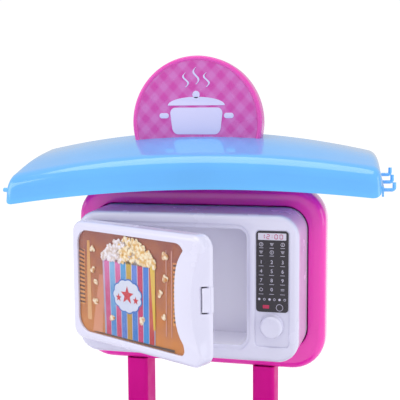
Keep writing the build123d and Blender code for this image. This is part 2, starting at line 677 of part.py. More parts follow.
def worktop():
    outer = upright_prism(
        RectangleRounded(WORKTOP_WIDTH, WORKTOP_DEPTH, WORKTOP_CORNER), 0, 0, WORKTOP_LOW, WORKTOP_TOP
    )
    outer = fillet(outer.faces().sort_by(Axis.Z)[-1].edges(), WORKTOP_EDGE)
    inside = RectangleRounded(
        WORKTOP_WIDTH - 2 * WORKTOP_SKIRT, WORKTOP_DEPTH - 2 * WORKTOP_SKIRT, WORKTOP_CORNER - WORKTOP_SKIRT
    )
    top = outer - upright_prism(inside, 0, 0, WORKTOP_LOW - 1, PLATE_LOW)
    for sign in (-1, 1):
        x = sign * POST_X
        socket = upright_prism(post_outline(SOCKET_WALL), x, POST_MIDDLE_Y, WORKTOP_LOW, PLATE_LOW)
        hole = upright_prism(post_outline(SNUG_FIT), x, POST_MIDDLE_Y, POST_FOOT, WORKTOP_TOP + 1)
        top = top + socket - hole
    cutout = RectangleRounded(SINK_WIDTH, SINK_LENGTH, SINK_CORNER)
    top -= upright_prism(cutout, SINK_X, SINK_Y, PLATE_LOW - 1, WORKTOP_TOP + 1)
    parts["worktop"] = top


def sink():
    flange_top = SINK_FLANGE_TOP
    flange = RectangleRounded(
        SINK_WIDTH + 2 * SINK_FLANGE, SINK_LENGTH + 2 * SINK_FLANGE, SINK_CORNER + SINK_FLANGE
    )
    outside = RectangleRounded(
        SINK_WIDTH - 2 * NEST_GAP, SINK_LENGTH - 2 * NEST_GAP, SINK_CORNER - NEST_GAP
    )
    inset = NEST_GAP + SINK_WALL
    inside = RectangleRounded(SINK_WIDTH - 2 * inset, SINK_LENGTH - 2 * inset, SINK_CORNER - inset)
    bottom = flange_top - SINK_DEPTH
    bowl = upright_prism(outside, SINK_X, SINK_Y, bottom, WORKTOP_TOP)
    bowl = fillet(bowl.faces().sort_by(Axis.Z)[0].edges(), SINK_BOTTOM_EDGE)
    bowl += upright_prism(flange, SINK_X, SINK_Y, WORKTOP_TOP, flange_top)
    hollow = upright_prism(inside, SINK_X, SINK_Y, bottom + SINK_WALL, flange_top + 1)
    hollow = fillet(hollow.faces().sort_by(Axis.Z)[0].edges(), SINK_BOTTOM_EDGE - SINK_WALL)
    bowl -= hollow
    bowl -= rod_z(DRAIN_RADIUS, bottom - 1, bottom + SINK_WALL + 1, SINK_X, SINK_Y)
    parts["sink_bowl"] = bowl

    floor = bottom + SINK_WALL
    strainer = rod_z(DRAIN_RADIUS - NEST_GAP, bottom, floor, SINK_X, SINK_Y)
    strainer += rod_z(DRAIN_RADIUS + DRAIN_RIM, floor, floor + DRAIN_RIM_THICK, SINK_X, SINK_Y)
    for index in range(DRAIN_HOLES):
        angle = 2 * math.pi * index / DRAIN_HOLES
        x = SINK_X + DRAIN_HOLE_CIRCLE * math.cos(angle)
        y = SINK_Y + DRAIN_HOLE_CIRCLE * math.sin(angle)
        strainer -= rod_z(DRAIN_HOLE_RADIUS, bottom - 1, floor + DRAIN_RIM_THICK + 1, x, y)
    parts["sink_strainer"] = strainer


def tap():
    plate_top = WORKTOP_TOP + TAP_PLATE
    plate = RectangleRounded(2 * LEVER_SPACING + TAP_PLATE_WIDTH, TAP_PLATE_WIDTH, TAP_PLATE_CORNER)
    body = upright_prism(plate, SINK_X, TAP_Y, WORKTOP_TOP, plate_top)
    column_top = plate_top + TAP_COLUMN_HEIGHT
    lever_top = plate_top + LEVER_COLUMN_HEIGHT
    body += rod_z(TAP_COLUMN_RADIUS, plate_top, column_top, SINK_X, TAP_Y)
    body -= rod_z(SPOUT_RADIUS + RUNNING_FIT, plate_top, column_top + 1, SINK_X, TAP_Y)
    for name, sign in (("tap_lever_left", -1), ("tap_lever_right", 1)):
        x = SINK_X + sign * LEVER_SPACING
        body += rod_z(LEVER_COLUMN_RADIUS, plate_top, lever_top, x, TAP_Y)
        body -= rod_z(LEVER_STEM_RADIUS + RUNNING_FIT, plate_top, lever_top + 1, x, TAP_Y)
        parts[name] = tap_lever(x, plate_top + NEST_GAP, lever_top + NEST_GAP)
    parts["tap_base"] = body

    top = column_top + SPOUT_RISE
    start = plate_top + NEST_GAP
    path = FilletPolyline(
        (SINK_X, TAP_Y, start),
        (SINK_X, TAP_Y, top),
        (SINK_X, TAP_Y - SPOUT_REACH, top),
        (SINK_X, TAP_Y - SPOUT_REACH, top - SPOUT_BEND - SPOUT_DROP),
        radius=SPOUT_BEND,
    )
    ring = Plane(origin=path @ 0, z_dir=path % 0) * (Circle(SPOUT_RADIUS) - Circle(SPOUT_BORE))
    spout = sweep(ring, path=path)
    spout += Pos(SINK_X, TAP_Y, column_top + NEST_GAP + SPOUT_COLLAR / 2) * (
        Cylinder(TAP_COLUMN_RADIUS - 1, SPOUT_COLLAR) - Cylinder(SPOUT_RADIUS - 0.5, SPOUT_COLLAR + 1)
    )
    parts["tap_spout"] = spout


def tap_lever(x, stem_low, head_low):
    """Cross-bar lever on a plain stem."""
    stem = rod_z(LEVER_STEM_RADIUS, stem_low, head_low + 1, x, TAP_Y)
    head_top = head_low + LEVER_THICK
    hub = rod_z(LEVER_COLUMN_RADIUS - 1, head_low, head_top, x, TAP_Y)
    hub = fillet(hub.faces().sort_by(Axis.Z)[-1].edges(), LEVER_EDGE)
    bar_outline = RectangleRounded(LEVER_WIDTH, LEVER_LENGTH, LEVER_WIDTH / 2 - 0.1)
    bar = upright_prism(bar_outline, x, TAP_Y, head_low, head_top)
    return stem + hub + bar


def hob():
    plate_top = WORKTOP_TOP + HOB_THICK
    outline = RectangleRounded(HOB_WIDTH, HOB_LENGTH, HOB_CORNER)
    plate = upright_prism(outline, HOB_X, SINK_Y, WORKTOP_TOP, plate_top)
    parts["hob_plate"] = fillet(plate.faces().sort_by(Axis.Z)[-1].edges(), HOB_EDGE)
    solids = []
    for sign, radius in zip((-1, 1), BURNER_RADII):
        x = HOB_X + sign * BURNER_SPACING / 2
        burner = rod_z(radius, plate_top, plate_top + BURNER_BASE, x, SINK_Y)
        step = radius / BURNER_RINGS
        for index in range(BURNER_RINGS):
            outer = radius - step * index
            ring = Cylinder(outer, BURNER_HEIGHT) - Cylinder(outer - step / 2, BURNER_HEIGHT + 1)
            burner += Pos(x, SINK_Y, plate_top + BURNER_HEIGHT / 2) * ring
        solids.append(burner)
    parts["burner_rings"] = Compound(children=solids)


# ---- posts and uprights -----------------------------------------------------------------------
def upright_outline(gap):
    return RectangleRounded(UPRIGHT_WIDTH + 2 * gap, UPRIGHT_DEPTH + 2 * gap, UPRIGHT_CORNER + gap)


def posts():
    seat_top = UPRIGHT_FOOT + POST_SEAT_HEIGHT
    upright_low = UPRIGHT_FOOT + SOCKET_WALL
    y = POST_MIDDLE_Y
    for name, sign in (("left", -1), ("right", 1)):
        x = sign * POST_X
        post = upright_prism(post_outline(0), x, y, POST_FOOT, BACK_PANEL_BOTTOM)
        post -= upright_prism(post_outline(-POST_WALL), x, y, POST_FOOT - 1, BACK_PANEL_BOTTOM + 1)
        seat = upright_prism(post_outline(-POST_WALL), x, y, UPRIGHT_FOOT, seat_top)
        post += seat - upright_prism(upright_outline(SNUG_FIT), x, y, upright_low, seat_top + 1)
        parts["post_" + name] = post
        upright = upright_prism(upright_outline(0), x, y, upright_low, UPRIGHT_TOP)
        upright -= upright_prism(upright_outline(-UPRIGHT_WALL), x, y, upright_low - 1, UPRIGHT_TOP + 1)
        parts["upright_" + name] = upright


# ---- back panel -------------------------------------------------------------------------------
def boss_places():
    top = BACK_PANEL_TOP - BOSS_END_INSET
    bottom = BACK_PANEL_BOTTOM + BOSS_END_INSET
    side = BACK_PANEL_WIDTH / 2 - BOSS_SIDE_INSET
    places = [(sign * BOSS_XS, z) for sign in (-1, 1) for z in (bottom, top)]
    return places + [(-side, HOUSING_MIDDLE), (side, HOUSING_MIDDLE)]


def tab_places():
    return [
        (sign * TAB_X, HOUSING_MIDDLE + lift)
        for sign in (-1, 1)
        for lift in (-TAB_SPREAD, TAB_SPREAD)
    ]


def back_panel():
    outer = rounded_slab(
        BACK_PANEL_WIDTH, BACK_PANEL_HEIGHT, BACK_PANEL_CORNER,
        0, BACK_PANEL_MIDDLE, BACK_PANEL_FRONT, BACK_PANEL_BACK, BACK_PANEL_EDGE,
    )
    inner = rounded_slab(
        BACK_PANEL_WIDTH - 2 * SHELL_WALL, BACK_PANEL_HEIGHT - 2 * SHELL_WALL,
        BACK_PANEL_CORNER - SHELL_WALL,
        0, BACK_PANEL_MIDDLE, PANEL_WALL_BACK, BACK_PANEL_BACK + 1, SHELL_WALL,
    )
    shell = outer - inner
    opening = RectangleRounded(
        HOUSING_WIDTH + 2 * (HOUSING_GROWTH + HOUSING_SEAM),
        HOUSING_HEIGHT + 2 * (HOUSING_GROWTH + HOUSING_SEAM),
        HOUSING_CORNER + HOUSING_GROWTH,
    )
    shell -= front_prism(opening, 0, HOUSING_MIDDLE, BACK_PANEL_FRONT - 1, PANEL_WALL_BACK + 1)
    for x, z in boss_places():
        shell += rod_y(BOSS_RADIUS, PANEL_WALL_BACK - 0.5, COVER_FRONT, x, z)
        shell -= rod_y(SCREW_RADIUS + SNUG_FIT, COVER_FRONT - BOSS_PILOT_DEPTH, COVER_FRONT + 1, x, z)
    for x, z in tab_places():
        shell += rod_y(BOSS_RADIUS - 1, PANEL_WALL_BACK - 0.5, FLANGE_BACK, x, z)
        shell -= rod_y(SCREW_RADIUS + SNUG_FIT, PANEL_WALL_BACK - 2, PANEL_WALL_BACK + 4, x, z)
    for sign in (-1, 1):
        shell -= upright_prism(
            upright_outline(NEST_GAP), sign * POST_X, POST_MIDDLE_Y,
            BACK_PANEL_BOTTOM - 1, BACK_PANEL_TOP + 1,
        )
    parts["back_panel"] = shell

    cover = front_prism(
        RectangleRounded(
            BACK_PANEL_WIDTH - 2 * (SHELL_WALL + NEST_GAP),
            BACK_PANEL_HEIGHT - 2 * (SHELL_WALL + NEST_GAP),
            BACK_PANEL_CORNER - SHELL_WALL - NEST_GAP,
        ),
        0, BACK_PANEL_MIDDLE, COVER_FRONT, BACK_PANEL_BACK,
    )
    screws = []
    for x, z in boss_places():
        head_seat = BACK_PANEL_BACK - SCREW_HEAD_HEIGHT
        cover -= rod_y(SCREW_RADIUS + SCREW_HOLE_GAP, COVER_FRONT - 1, BACK_PANEL_BACK + 1, x, z)
        cover -= rod_y(SCREW_HEAD_RADIUS + SCREW_HOLE_GAP, head_seat, BACK_PANEL_BACK + 1, x, z)
        screws.append(Pos(x, head_seat, z) * Rot(-90, 0, 0) * screw(COVER_SCREW_LENGTH))
    parts["back_cover"] = cover
    parts["back_cover_screws"] = Compound(children=screws)


# ---- microwave housing ------------------------------------------------------------------------
def cavity_outline(grow):
    width = CAVITY_RIGHT - CAVITY_LEFT + 2 * grow
    height = CAVITY_TOP - CAVITY_BOTTOM + 2 * grow
    return RectangleRounded(width, height, CAVITY_CORNER + grow)


def knuckle(z, clearance):
    """Hinge ear of the housing, from its front face out to the door's axis."""
    radius = KNUCKLE_RADIUS + clearance
    half = KNUCKLE_HEIGHT / 2 + clearance
    ear = rod_z(radius, z - half, z + half, MDOOR_AXIS_X, MDOOR_AXIS_Y)
    return ear + block(
        MDOOR_AXIS_X - radius, MDOOR_AXIS_X + radius, MDOOR_AXIS_Y, HOUSING_FRONT + 1,
        z - half, z + half,
    )


def housing():
    outer = front_prism(
        RectangleRounded(HOUSING_WIDTH, HOUSING_HEIGHT, HOUSING_CORNER),
        0, HOUSING_MIDDLE, HOUSING_FRONT, PANEL_WALL_BACK, taper=-HOUSING_DRAFT,
    )
    outer = fillet(outer.faces().sort_by(Axis.Y)[0].edges(), HOUSING_EDGE)
    inner = front_prism(
        RectangleRounded(
            HOUSING_WIDTH - 2 * SHELL_WALL, HOUSING_HEIGHT - 2 * SHELL_WALL, HOUSING_CORNER - SHELL_WALL
        ),
        0, HOUSING_MIDDLE, HOUSING_INNER_FRONT, PANEL_WALL_BACK + 5, taper=-HOUSING_DRAFT,
    )
    flange = front_prism(
        RectangleRounded(
            HOUSING_WIDTH + 2 * (HOUSING_GROWTH + FLANGE_REACH),
            HOUSING_HEIGHT + 2 * (HOUSING_GROWTH + FLANGE_REACH),
            HOUSING_CORNER + HOUSING_GROWTH,
        ),
        0, HOUSING_MIDDLE, PANEL_WALL_BACK, FLANGE_BACK,
    )
    for x, z in tab_places():
        flange += block(
            x - TAB_WIDTH / 2, x + TAB_WIDTH / 2, PANEL_WALL_BACK, FLANGE_BACK,
            z - TAB_HEIGHT / 2, z + TAB_HEIGHT / 2,
        )
    body = outer + flange - inner
    body -= front_prism(cavity_outline(0), CAVITY_X, CAVITY_Z, HOUSING_FRONT - 1, HOUSING_INNER_FRONT + 1)
    recess = cavity_outline(DOOR_RECESS_MARGIN)
    body -= front_prism(recess, CAVITY_X - DOOR_RECESS_SHIFT, CAVITY_Z, HOUSING_FRONT - 1, RECESS_FLOOR)
    control = RectangleRounded(CONTROL_WIDTH, CONTROL_HEIGHT, CONTROL_CORNER)
    body -= front_prism(control, CONTROL_X, CONTROL_Z, HOUSING_FRONT - 1, RECESS_FLOOR)
    body -= spindle_hole(CONTROL_X, TIMER_Z, HOUSING_FRONT, HOUSING_INNER_FRONT + 1)
    for x, z in tab_places():
        body -= rod_y(BOSS_RADIUS - 1 + NEST_GAP, PANEL_WALL_BACK - 1, FLANGE_BACK + 1, x, z)
    for z in KNUCKLE_ZS:
        body += knuckle(z, 0)
        body -= rod_z(MDOOR_PIN_RADIUS + SNUG_FIT, z - 10, z + 10, MDOOR_AXIS_X, MDOOR_AXIS_Y)
    parts["microwave_housing"] = body

    screws = [
        Pos(x, FLANGE_BACK, z) * Rot(-90, 0, 0) * screw(TAB_SCREW_LENGTH) for x, z in tab_places()
    ]
    parts["housing_screws"] = Compound(children=screws)

    y = HOUSING_INNER_FRONT
    liner = front_prism(cavity_outline(LINER_WALL), CAVITY_X, CAVITY_Z, y, LINER_BACK)
    liner += front_prism(cavity_outline(LINER_FLANGE), CAVITY_X, CAVITY_Z, y, y + LINER_FLANGE_THICK)
    liner -= front_prism(cavity_outline(0), CAVITY_X, CAVITY_Z, y - 1, LINER_BACK - LINER_WALL)
    parts["cavity_liner"] = liner

    label = RectangleRounded(CONTROL_WIDTH - 2 * LABEL_SIDE_GAP, LABEL_HEIGHT, CONTROL_CORNER - LABEL_TOP_GAP)
    label_front = RECESS_FLOOR - LABEL_THICK
    parts["control_label"] = front_prism(label, CONTROL_X, LABEL_Z, label_front, RECESS_FLOOR)
    wall = HOUSING_INNER_FRONT - RECESS_FLOOR
    parts["timer_knob"] = snap_knob(CONTROL_X, TIMER_Z, RECESS_FLOOR, wall, KNOB_HEIGHT)


# ---- microwave door ---------------------------------------------------------------------------
def swing(piece):
    """Turn a piece of the closed microwave door to its rest angle."""
    axis = Axis((MDOOR_AXIS_X, MDOOR_AXIS_Y, 0), (0, 0, 1))
    return piece.rotate(axis, -MDOOR_REST_ANGLE)


def door_outline(inset):
    return RectangleRounded(MDOOR_WIDTH - 2 * inset, MDOOR_HEIGHT - 2 * inset, MDOOR_CORNER - inset)


def door_plan():
    """Space the door may fill: rounded at the back of its hinge edge, to turn clear of the housing."""
    plan = block(MDOOR_LEFT, MDOOR_RIGHT, MDOOR_FRONT, MDOOR_BACK, MDOOR_BOTTOM, MDOOR_TOP)
    back_left = plan.edges().filter_by(Axis.Z).sort_by(Axis.X)[:2].sort_by(Axis.Y)[-1]
    return fillet(back_left, MDOOR_AXIS_INSET)


def door_scoop(inset):
    """Finger hollow down the free edge of the door's front."""
    x = MDOOR_RIGHT + MDOOR_SCOOP_RADIUS - MDOOR_SCOOP_DEPTH - inset
    y = MDOOR_FRONT
    return rod_y(MDOOR_SCOOP_RADIUS, y - 1, y + MDOOR_DEPTH / 2 + inset, x, MDOOR_Z)


def window_outline(grow):
    return RectangleRounded(WINDOW_WIDTH + 2 * grow, WINDOW_HEIGHT + 2 * grow, WINDOW_CORNER + grow)


def microwave_door():
    frame = front_prism(door_outline(0), MDOOR_X, MDOOR_Z, MDOOR_FRONT, MDOOR_PANEL_FRONT)
    frame = fillet(frame.faces().sort_by(Axis.Y)[0].edges(), MDOOR_EDGE)
    frame -= door_scoop(0)
    hollow = front_prism(
        door_outline(MDOOR_WALL), MDOOR_X, MDOOR_Z, MDOOR_FRONT + MDOOR_WALL, MDOOR_PANEL_FRONT + 1
    )
    frame -= hollow - door_scoop(MDOOR_WALL)
    frame -= front_prism(window_outline(0), WINDOW_X, MDOOR_Z, MDOOR_FRONT - 1, PICTURE_FRONT + 1)

    boss_half = MDOOR_PIN_LENGTH / 2 + 2
    notches = []
    pins = []
    for z in KNUCKLE_ZS:
        frame += block(
            MDOOR_LEFT + 0.5, MDOOR_AXIS_X + MDOOR_PIN_BOSS,
            PICTURE_FRONT + PICTURE_THICK + NEST_GAP, MDOOR_PANEL_FRONT,
            z - boss_half, z + boss_half,
        )
        frame -= rod_z(
            MDOOR_PIN_RADIUS + RUNNING_FIT, z - MDOOR_PIN_LENGTH / 2, z + MDOOR_PIN_LENGTH / 2,
            MDOOR_AXIS_X, MDOOR_AXIS_Y,
        )
        notches.append(
            block(
                MDOOR_LEFT - 1, MDOOR_AXIS_X + KNUCKLE_RADIUS + KNUCKLE_GAP,
                MDOOR_AXIS_Y - KNUCKLE_RADIUS - 2 * KNUCKLE_GAP, MDOOR_BACK + 1,
                z - KNUCKLE_HEIGHT / 2 - KNUCKLE_GAP, z + KNUCKLE_HEIGHT / 2 + KNUCKLE_GAP,
            )
        )
        half = MDOOR_PIN_LENGTH / 2 - NEST_GAP
        pins.append(rod_z(MDOOR_PIN_RADIUS, z - half, z + half, MDOOR_AXIS_X, MDOOR_AXIS_Y))
    panel = front_prism(door_outline(0), MDOOR_X, MDOOR_Z, MDOOR_PANEL_FRONT, MDOOR_BACK)
    panel = fillet(panel.faces().sort_by(Axis.Y)[-1].edges(), 1.5)
    for notch in notches:
        frame -= notch
        panel -= notch

    slot = block(
        MDOOR_RIGHT - CATCH_LENGTH, MDOOR_RIGHT + 1,
        MDOOR_PANEL_FRONT - CATCH_THICK - NEST_GAP, MDOOR_BACK + 1,
        CATCH_Z - CATCH_HEIGHT / 2 - NEST_GAP, CATCH_Z + CATCH_HEIGHT / 2 + NEST_GAP,
    )
    panel -= slot
    frame -= slot
    catch = block(
        MDOOR_RIGHT - CATCH_LENGTH + NEST_GAP, MDOOR_RIGHT,
        MDOOR_PANEL_FRONT - CATCH_THICK, MDOOR_BACK,
        CATCH_Z - CATCH_HEIGHT / 2, CATCH_Z + CATCH_HEIGHT / 2,
    )
    lens = front_prism(
        window_outline(-NEST_GAP), WINDOW_X, MDOOR_Z, MDOOR_FRONT + NEST_GAP, MDOOR_FRONT + MDOOR_WALL
    )
    picture = front_prism(
        window_outline(PICTURE_MARGIN), WINDOW_X, MDOOR_Z, PICTURE_FRONT, PICTURE_FRONT + PICTURE_THICK
    )
    parts["door_frame"] = swing(frame & door_plan())
    parts["door_back_panel"] = swing(panel & door_plan())
    parts["door_catch"] = swing(catch)
    parts["door_window"] = swing(lens)
    parts["door_picture"] = swing(picture)
    parts["door_hinge_pins"] = Compound(children=pins)


# ---- canopy -----------------------------------------------------------------------------------
def canopy_half(y, inset):
    share = (y - CANOPY_FRONT_Y) / (CANOPY_BACK_Y - CANOPY_FRONT_Y)
    return CANOPY_FRONT_HALF + (CANOPY_BACK_HALF - CANOPY_FRONT_HALF) * share - inset


def canopy_section(side, inset, drop):
    """Section of the canopy from front to back; side runs from -1 to 1 across its width."""
    fall = side * side
    lip = CANOPY_LIP_Z - CANOPY_LIP_FALL * fall - drop
    ridge = CANOPY_RIDGE_Z - CANOPY_RIDGE_FALL * fall - inset
    back = CANOPY_BACK_Z - CANOPY_BACK_FALL * fall - inset
    foot = CANOPY_BACK_Z - CANOPY_BACK_FALL * fall - CANOPY_BACK_HEIGHT - drop
    outline = [
        (CANOPY_FRONT_Y + inset, lip),
        (CANOPY_FRONT_Y + CANOPY_RAKE + inset, ridge),
        (CANOPY_BACK_Y - inset, back),
        (CANOPY_BACK_Y + CANOPY_RAKE - inset, foot),
    ]
    points = [Vector(side * canopy_half(y, inset), y, z) for y, z in outline]
    face = Face(Wire.make_polygon(points, close=True))
    corners = face.vertices().sort_by(Axis.Z)[-2:]
    return face.fillet_2d(CANOPY_EDGE - inset, corners)


def canopy_form(inset, drop):
    last = CANOPY_STATIONS - 1
    sections = [canopy_section(2 * index / last - 1, inset, drop) for index in range(CANOPY_STATIONS)]
    return Solid.make_loft([section.outer_wire() for section in sections], ruled=False)


def end_plane(side):
    """Plane of an end wall: y runs up and z outwards; x runs back on the right, forward on the left."""
    run = Vector(side * (CANOPY_BACK_HALF - CANOPY_FRONT_HALF), CANOPY_BACK_Y - CANOPY_FRONT_Y, 0)
    outward = Vector(side * run.Y, -side * run.X, 0)
    return Plane(origin=(side * CANOPY_FRONT_HALF, CANOPY_FRONT_Y, 0), x_dir=run * side, z_dir=outward)


def end_height(distance):
    """Height of the canopy's end at this distance behind its front."""
    ridge = CANOPY_RIDGE_Z - CANOPY_RIDGE_FALL
    back = CANOPY_BACK_Z - CANOPY_BACK_FALL
    return ridge + (back - ridge) * distance / (CANOPY_BACK_Y - CANOPY_FRONT_Y)


def canopy():
    shell = canopy_form(0, 0) - canopy_form(CANOPY_WALL, 20)
    middle_y = POST_MIDDLE_Y
    for sign in (-1, 1):
        boss = rod_z(BOSS_RADIUS, CROSSBAR_TOP, CANOPY_BACK_Z, sign * CANOPY_BOSS_X, middle_y)
        shell += boss & canopy_form(1, 0)
        shell -= rod_z(
            SCREW_RADIUS + SNUG_FIT, CROSSBAR_TOP - 1, CROSSBAR_TOP + CANOPY_PILOT_DEPTH,
            sign * CANOPY_BOSS_X, middle_y,
        )
    shell -= block(
        -SIGN_TENON_WIDTH / 2 - NEST_GAP, SIGN_TENON_WIDTH / 2 + NEST_GAP,
        TENON_FRONT - NEST_GAP, TENON_FRONT + SIGN_TENON_DEPTH + NEST_GAP, CROSSBAR_TOP, CANOPY_BACK_Z + 5,
    )
    parts["canopy"] = shell

    bar_half = UPRIGHT_DEPTH / 2 + SOCKET_WALL
    bar = block(
        -CROSSBAR_HALF, CROSSBAR_HALF, middle_y - bar_half, middle_y + bar_half, CROSSBAR_LOW, CROSSBAR_TOP
    )
    screws = []
    for sign in (-1, 1):
        socket = upright_outline(SNUG_FIT)
        bar -= upright_prism(socket, sign * POST_X, middle_y, CROSSBAR_LOW - 1, UPRIGHT_TOP)
        x = sign * CANOPY_BOSS_X
        head_seat = CROSSBAR_TOP - SOCKET_WALL
        bar -= rod_z(SCREW_HEAD_RADIUS + SCREW_HOLE_GAP, CROSSBAR_LOW - 1, head_seat, x, middle_y)
        bar -= rod_z(SCREW_RADIUS + SCREW_HOLE_GAP, CROSSBAR_LOW, CROSSBAR_TOP + 1, x, middle_y)
        screws.append(Pos(x, middle_y, head_seat) * Rot(180, 0, 0) * screw(CANOPY_SCREW_LENGTH))
    parts["canopy_crossbar"] = bar
    parts["canopy_screws"] = Compound(children=screws)


def hooks():
    plane = end_plane(1)
    first = HOOK_FIRST - HOOK_PLATE_END
    last = HOOK_FIRST + HOOK_SPACING * (HOOK_COUNT - 1) + HOOK_PLATE_END
    half = HOOK_PLATE_HEIGHT / 2
    strip = Polygon(
        (first, end_height(first) - HOOK_DROP - half),
        (last, end_height(last) - HOOK_DROP - half),
        (last, end_height(last) - HOOK_DROP + half),
        (first, end_height(first) - HOOK_DROP + half),
        align=None,
    )
    rack = extrude(plane * strip, HOOK_PLATE)
    for index in range(HOOK_COUNT):
        distance = HOOK_FIRST + HOOK_SPACING * index
        height = end_height(distance) - HOOK_DROP
        path = plane * FilletPolyline(
            (distance, height, HOOK_PLATE / 2),
            (distance, height, HOOK_REACH),
            (distance, height + HOOK_TIP, HOOK_REACH),
            radius=HOOK_BEND,
        )
        rack += sweep(Plane(origin=path @ 0, z_dir=path % 0) * Circle(HOOK_RADIUS), path=path)
    parts["hook_rack"] = rack

    peg_height = end_height(PEG_FROM_FRONT) - HOOK_DROP
    peg_place = end_plane(-1) * Pos(-PEG_FROM_FRONT, peg_height, PEG_REACH / 2)
    parts["side_peg"] = peg_place * Cylinder(PEG_RADIUS, PEG_REACH)


def sign():
    keep = block(-SIGN_RADIUS, SIGN_RADIUS, 0, WORKTOP_DEPTH, CROSSBAR_TOP, SIGN_Z + SIGN_RADIUS + 1)
    roof = canopy_form(-NEST_GAP, 0)
    face = rod_y(SIGN_RADIUS, SIGN_FRONT, SIGN_MIDDLE, 0, SIGN_Z)
    face = fillet(face.faces().sort_by(Axis.Y)[0].edges(), SIGN_EDGE)
    face -= rod_y(SIGN_RADIUS - SIGN_RIM, SIGN_FRONT - 1, SIGN_FRONT + SIGN_RIM_STEP, 0, SIGN_Z)
    hollow_front = SIGN_FRONT + SIGN_RIM_STEP + SHELL_WALL
    face -= rod_y(SIGN_RADIUS - SHELL_WALL, hollow_front, SIGN_MIDDLE + 1, 0, SIGN_Z)
    rib = block(
        -SIGN_TENON_WIDTH / 2, SIGN_TENON_WIDTH / 2, TENON_FRONT, TENON_FRONT + SIGN_TENON_DEPTH,
        CROSSBAR_TOP + 3, CANOPY_BACK_Z + 6,
    )
    parts["sign_front"] = (face & keep) - roof + rib
    cover = rod_y(SIGN_RADIUS, SIGN_MIDDLE, SIGN_BACK, 0, SIGN_Z)
    cover = fillet(cover.faces().sort_by(Axis.Y)[-1].edges(), SIGN_EDGE)
    parts["sign_back"] = (cover & keep) - roof
    label_front = SIGN_FRONT + SIGN_RIM_STEP - LABEL_THICK
    label = rod_y(SIGN_RADIUS - SIGN_RIM - 0.5, label_front, SIGN_FRONT + SIGN_RIM_STEP, 0, SIGN_Z)
    parts["sign_label"] = (label & keep) - canopy_form(-1, 0)


# ---- build and write ----------------------------------------------------------------------------
def build():
    cabinet()
    hinge_pins()
    oven_door()
    cupboard_door()
    oven_rack()
    worktop()
    sink()
    tap()
    hob()
    posts()
    back_panel()
    housing()
    microwave_door()
    canopy()
    hooks()
    sign()
    os.makedirs("parts", exist_ok=True)
    for name, shape in parts.items():
        export_step(shape, os.path.join("parts", name + ".step"))


build()
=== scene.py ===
import json
import math
import random

import bmesh
import bpy
from mathutils import Matrix, Vector


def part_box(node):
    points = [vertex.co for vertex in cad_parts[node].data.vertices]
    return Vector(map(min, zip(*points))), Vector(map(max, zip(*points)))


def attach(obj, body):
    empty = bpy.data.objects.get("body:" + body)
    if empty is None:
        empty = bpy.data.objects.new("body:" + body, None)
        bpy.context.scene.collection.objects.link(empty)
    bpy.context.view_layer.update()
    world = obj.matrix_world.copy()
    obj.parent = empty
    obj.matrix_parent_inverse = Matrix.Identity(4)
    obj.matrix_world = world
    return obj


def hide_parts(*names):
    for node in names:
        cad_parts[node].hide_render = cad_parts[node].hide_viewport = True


# Toy kitchen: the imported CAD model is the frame; the moulded shells, prints and clear parts that
# show are rebuilt here as finer meshes, and every piece gets a procedural finish.
# Metres, in the CAD model's own frame; MM turns millimetres into metres.

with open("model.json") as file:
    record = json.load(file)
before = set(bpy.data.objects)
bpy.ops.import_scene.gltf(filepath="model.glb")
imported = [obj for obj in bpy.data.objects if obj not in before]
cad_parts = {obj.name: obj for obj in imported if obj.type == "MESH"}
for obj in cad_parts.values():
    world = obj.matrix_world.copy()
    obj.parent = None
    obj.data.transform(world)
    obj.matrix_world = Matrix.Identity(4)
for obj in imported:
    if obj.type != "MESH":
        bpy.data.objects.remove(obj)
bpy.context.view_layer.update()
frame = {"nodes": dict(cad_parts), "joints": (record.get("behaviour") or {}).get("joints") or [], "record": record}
MM = 0.001
ROOT = "kitchen"
SEED = 7


# ---- mesh helpers ---------------------------------------------------------------------------
def add_object(name, mesh):
    obj = bpy.data.objects.new(name, mesh)
    bpy.context.scene.collection.objects.link(obj)
    return obj


def smooth(mesh, angle=32):
    """Smooth shading, with edges sharper than this angle kept crisp."""
    for polygon in mesh.polygons:
        polygon.use_smooth = True
    mesh.set_sharp_from_angle(angle=math.radians(angle))


def mesh_object(name, verts, faces, angle=32):
    mesh = bpy.data.meshes.new(name)
    mesh.from_pydata([tuple(v) for v in verts], [], faces)
    bm = bmesh.new()
    bm.from_mesh(mesh)
    bmesh.ops.remove_doubles(bm, verts=bm.verts, dist=1e-6)
    bmesh.ops.recalc_face_normals(bm, faces=bm.faces)
    bm.to_mesh(mesh)
    bm.free()
    smooth(mesh, angle)
    return add_object(name, mesh)


def bake_modifiers(obj):
    """Applies the object's modifiers to its mesh."""
    bpy.context.view_layer.update()
    seen = obj.evaluated_get(bpy.context.evaluated_depsgraph_get())
    mesh = bpy.data.meshes.new_from_object(seen)
    obj.modifiers.clear()
    obj.data = mesh
    smooth(mesh)
    return obj


def solidify(obj, thickness):
    """Gives an open skin a wall on its inner side."""
    shell = obj.modifiers.new("wall", "SOLIDIFY")
    shell.thickness = thickness
    shell.offset = -1.0
    shell.use_even_offset = True
    return bake_modifiers(obj)


def cut(obj, cutters):
    """Cuts the cutter objects out of obj and removes them."""
    for cutter in cutters:
        tool = obj.modifiers.new("cut", "BOOLEAN")
        tool.operation = "DIFFERENCE"
        tool.solver = "EXACT"
        tool.object = cutter
        bake_modifiers(obj)
        bpy.data.objects.remove(cutter)
    return obj


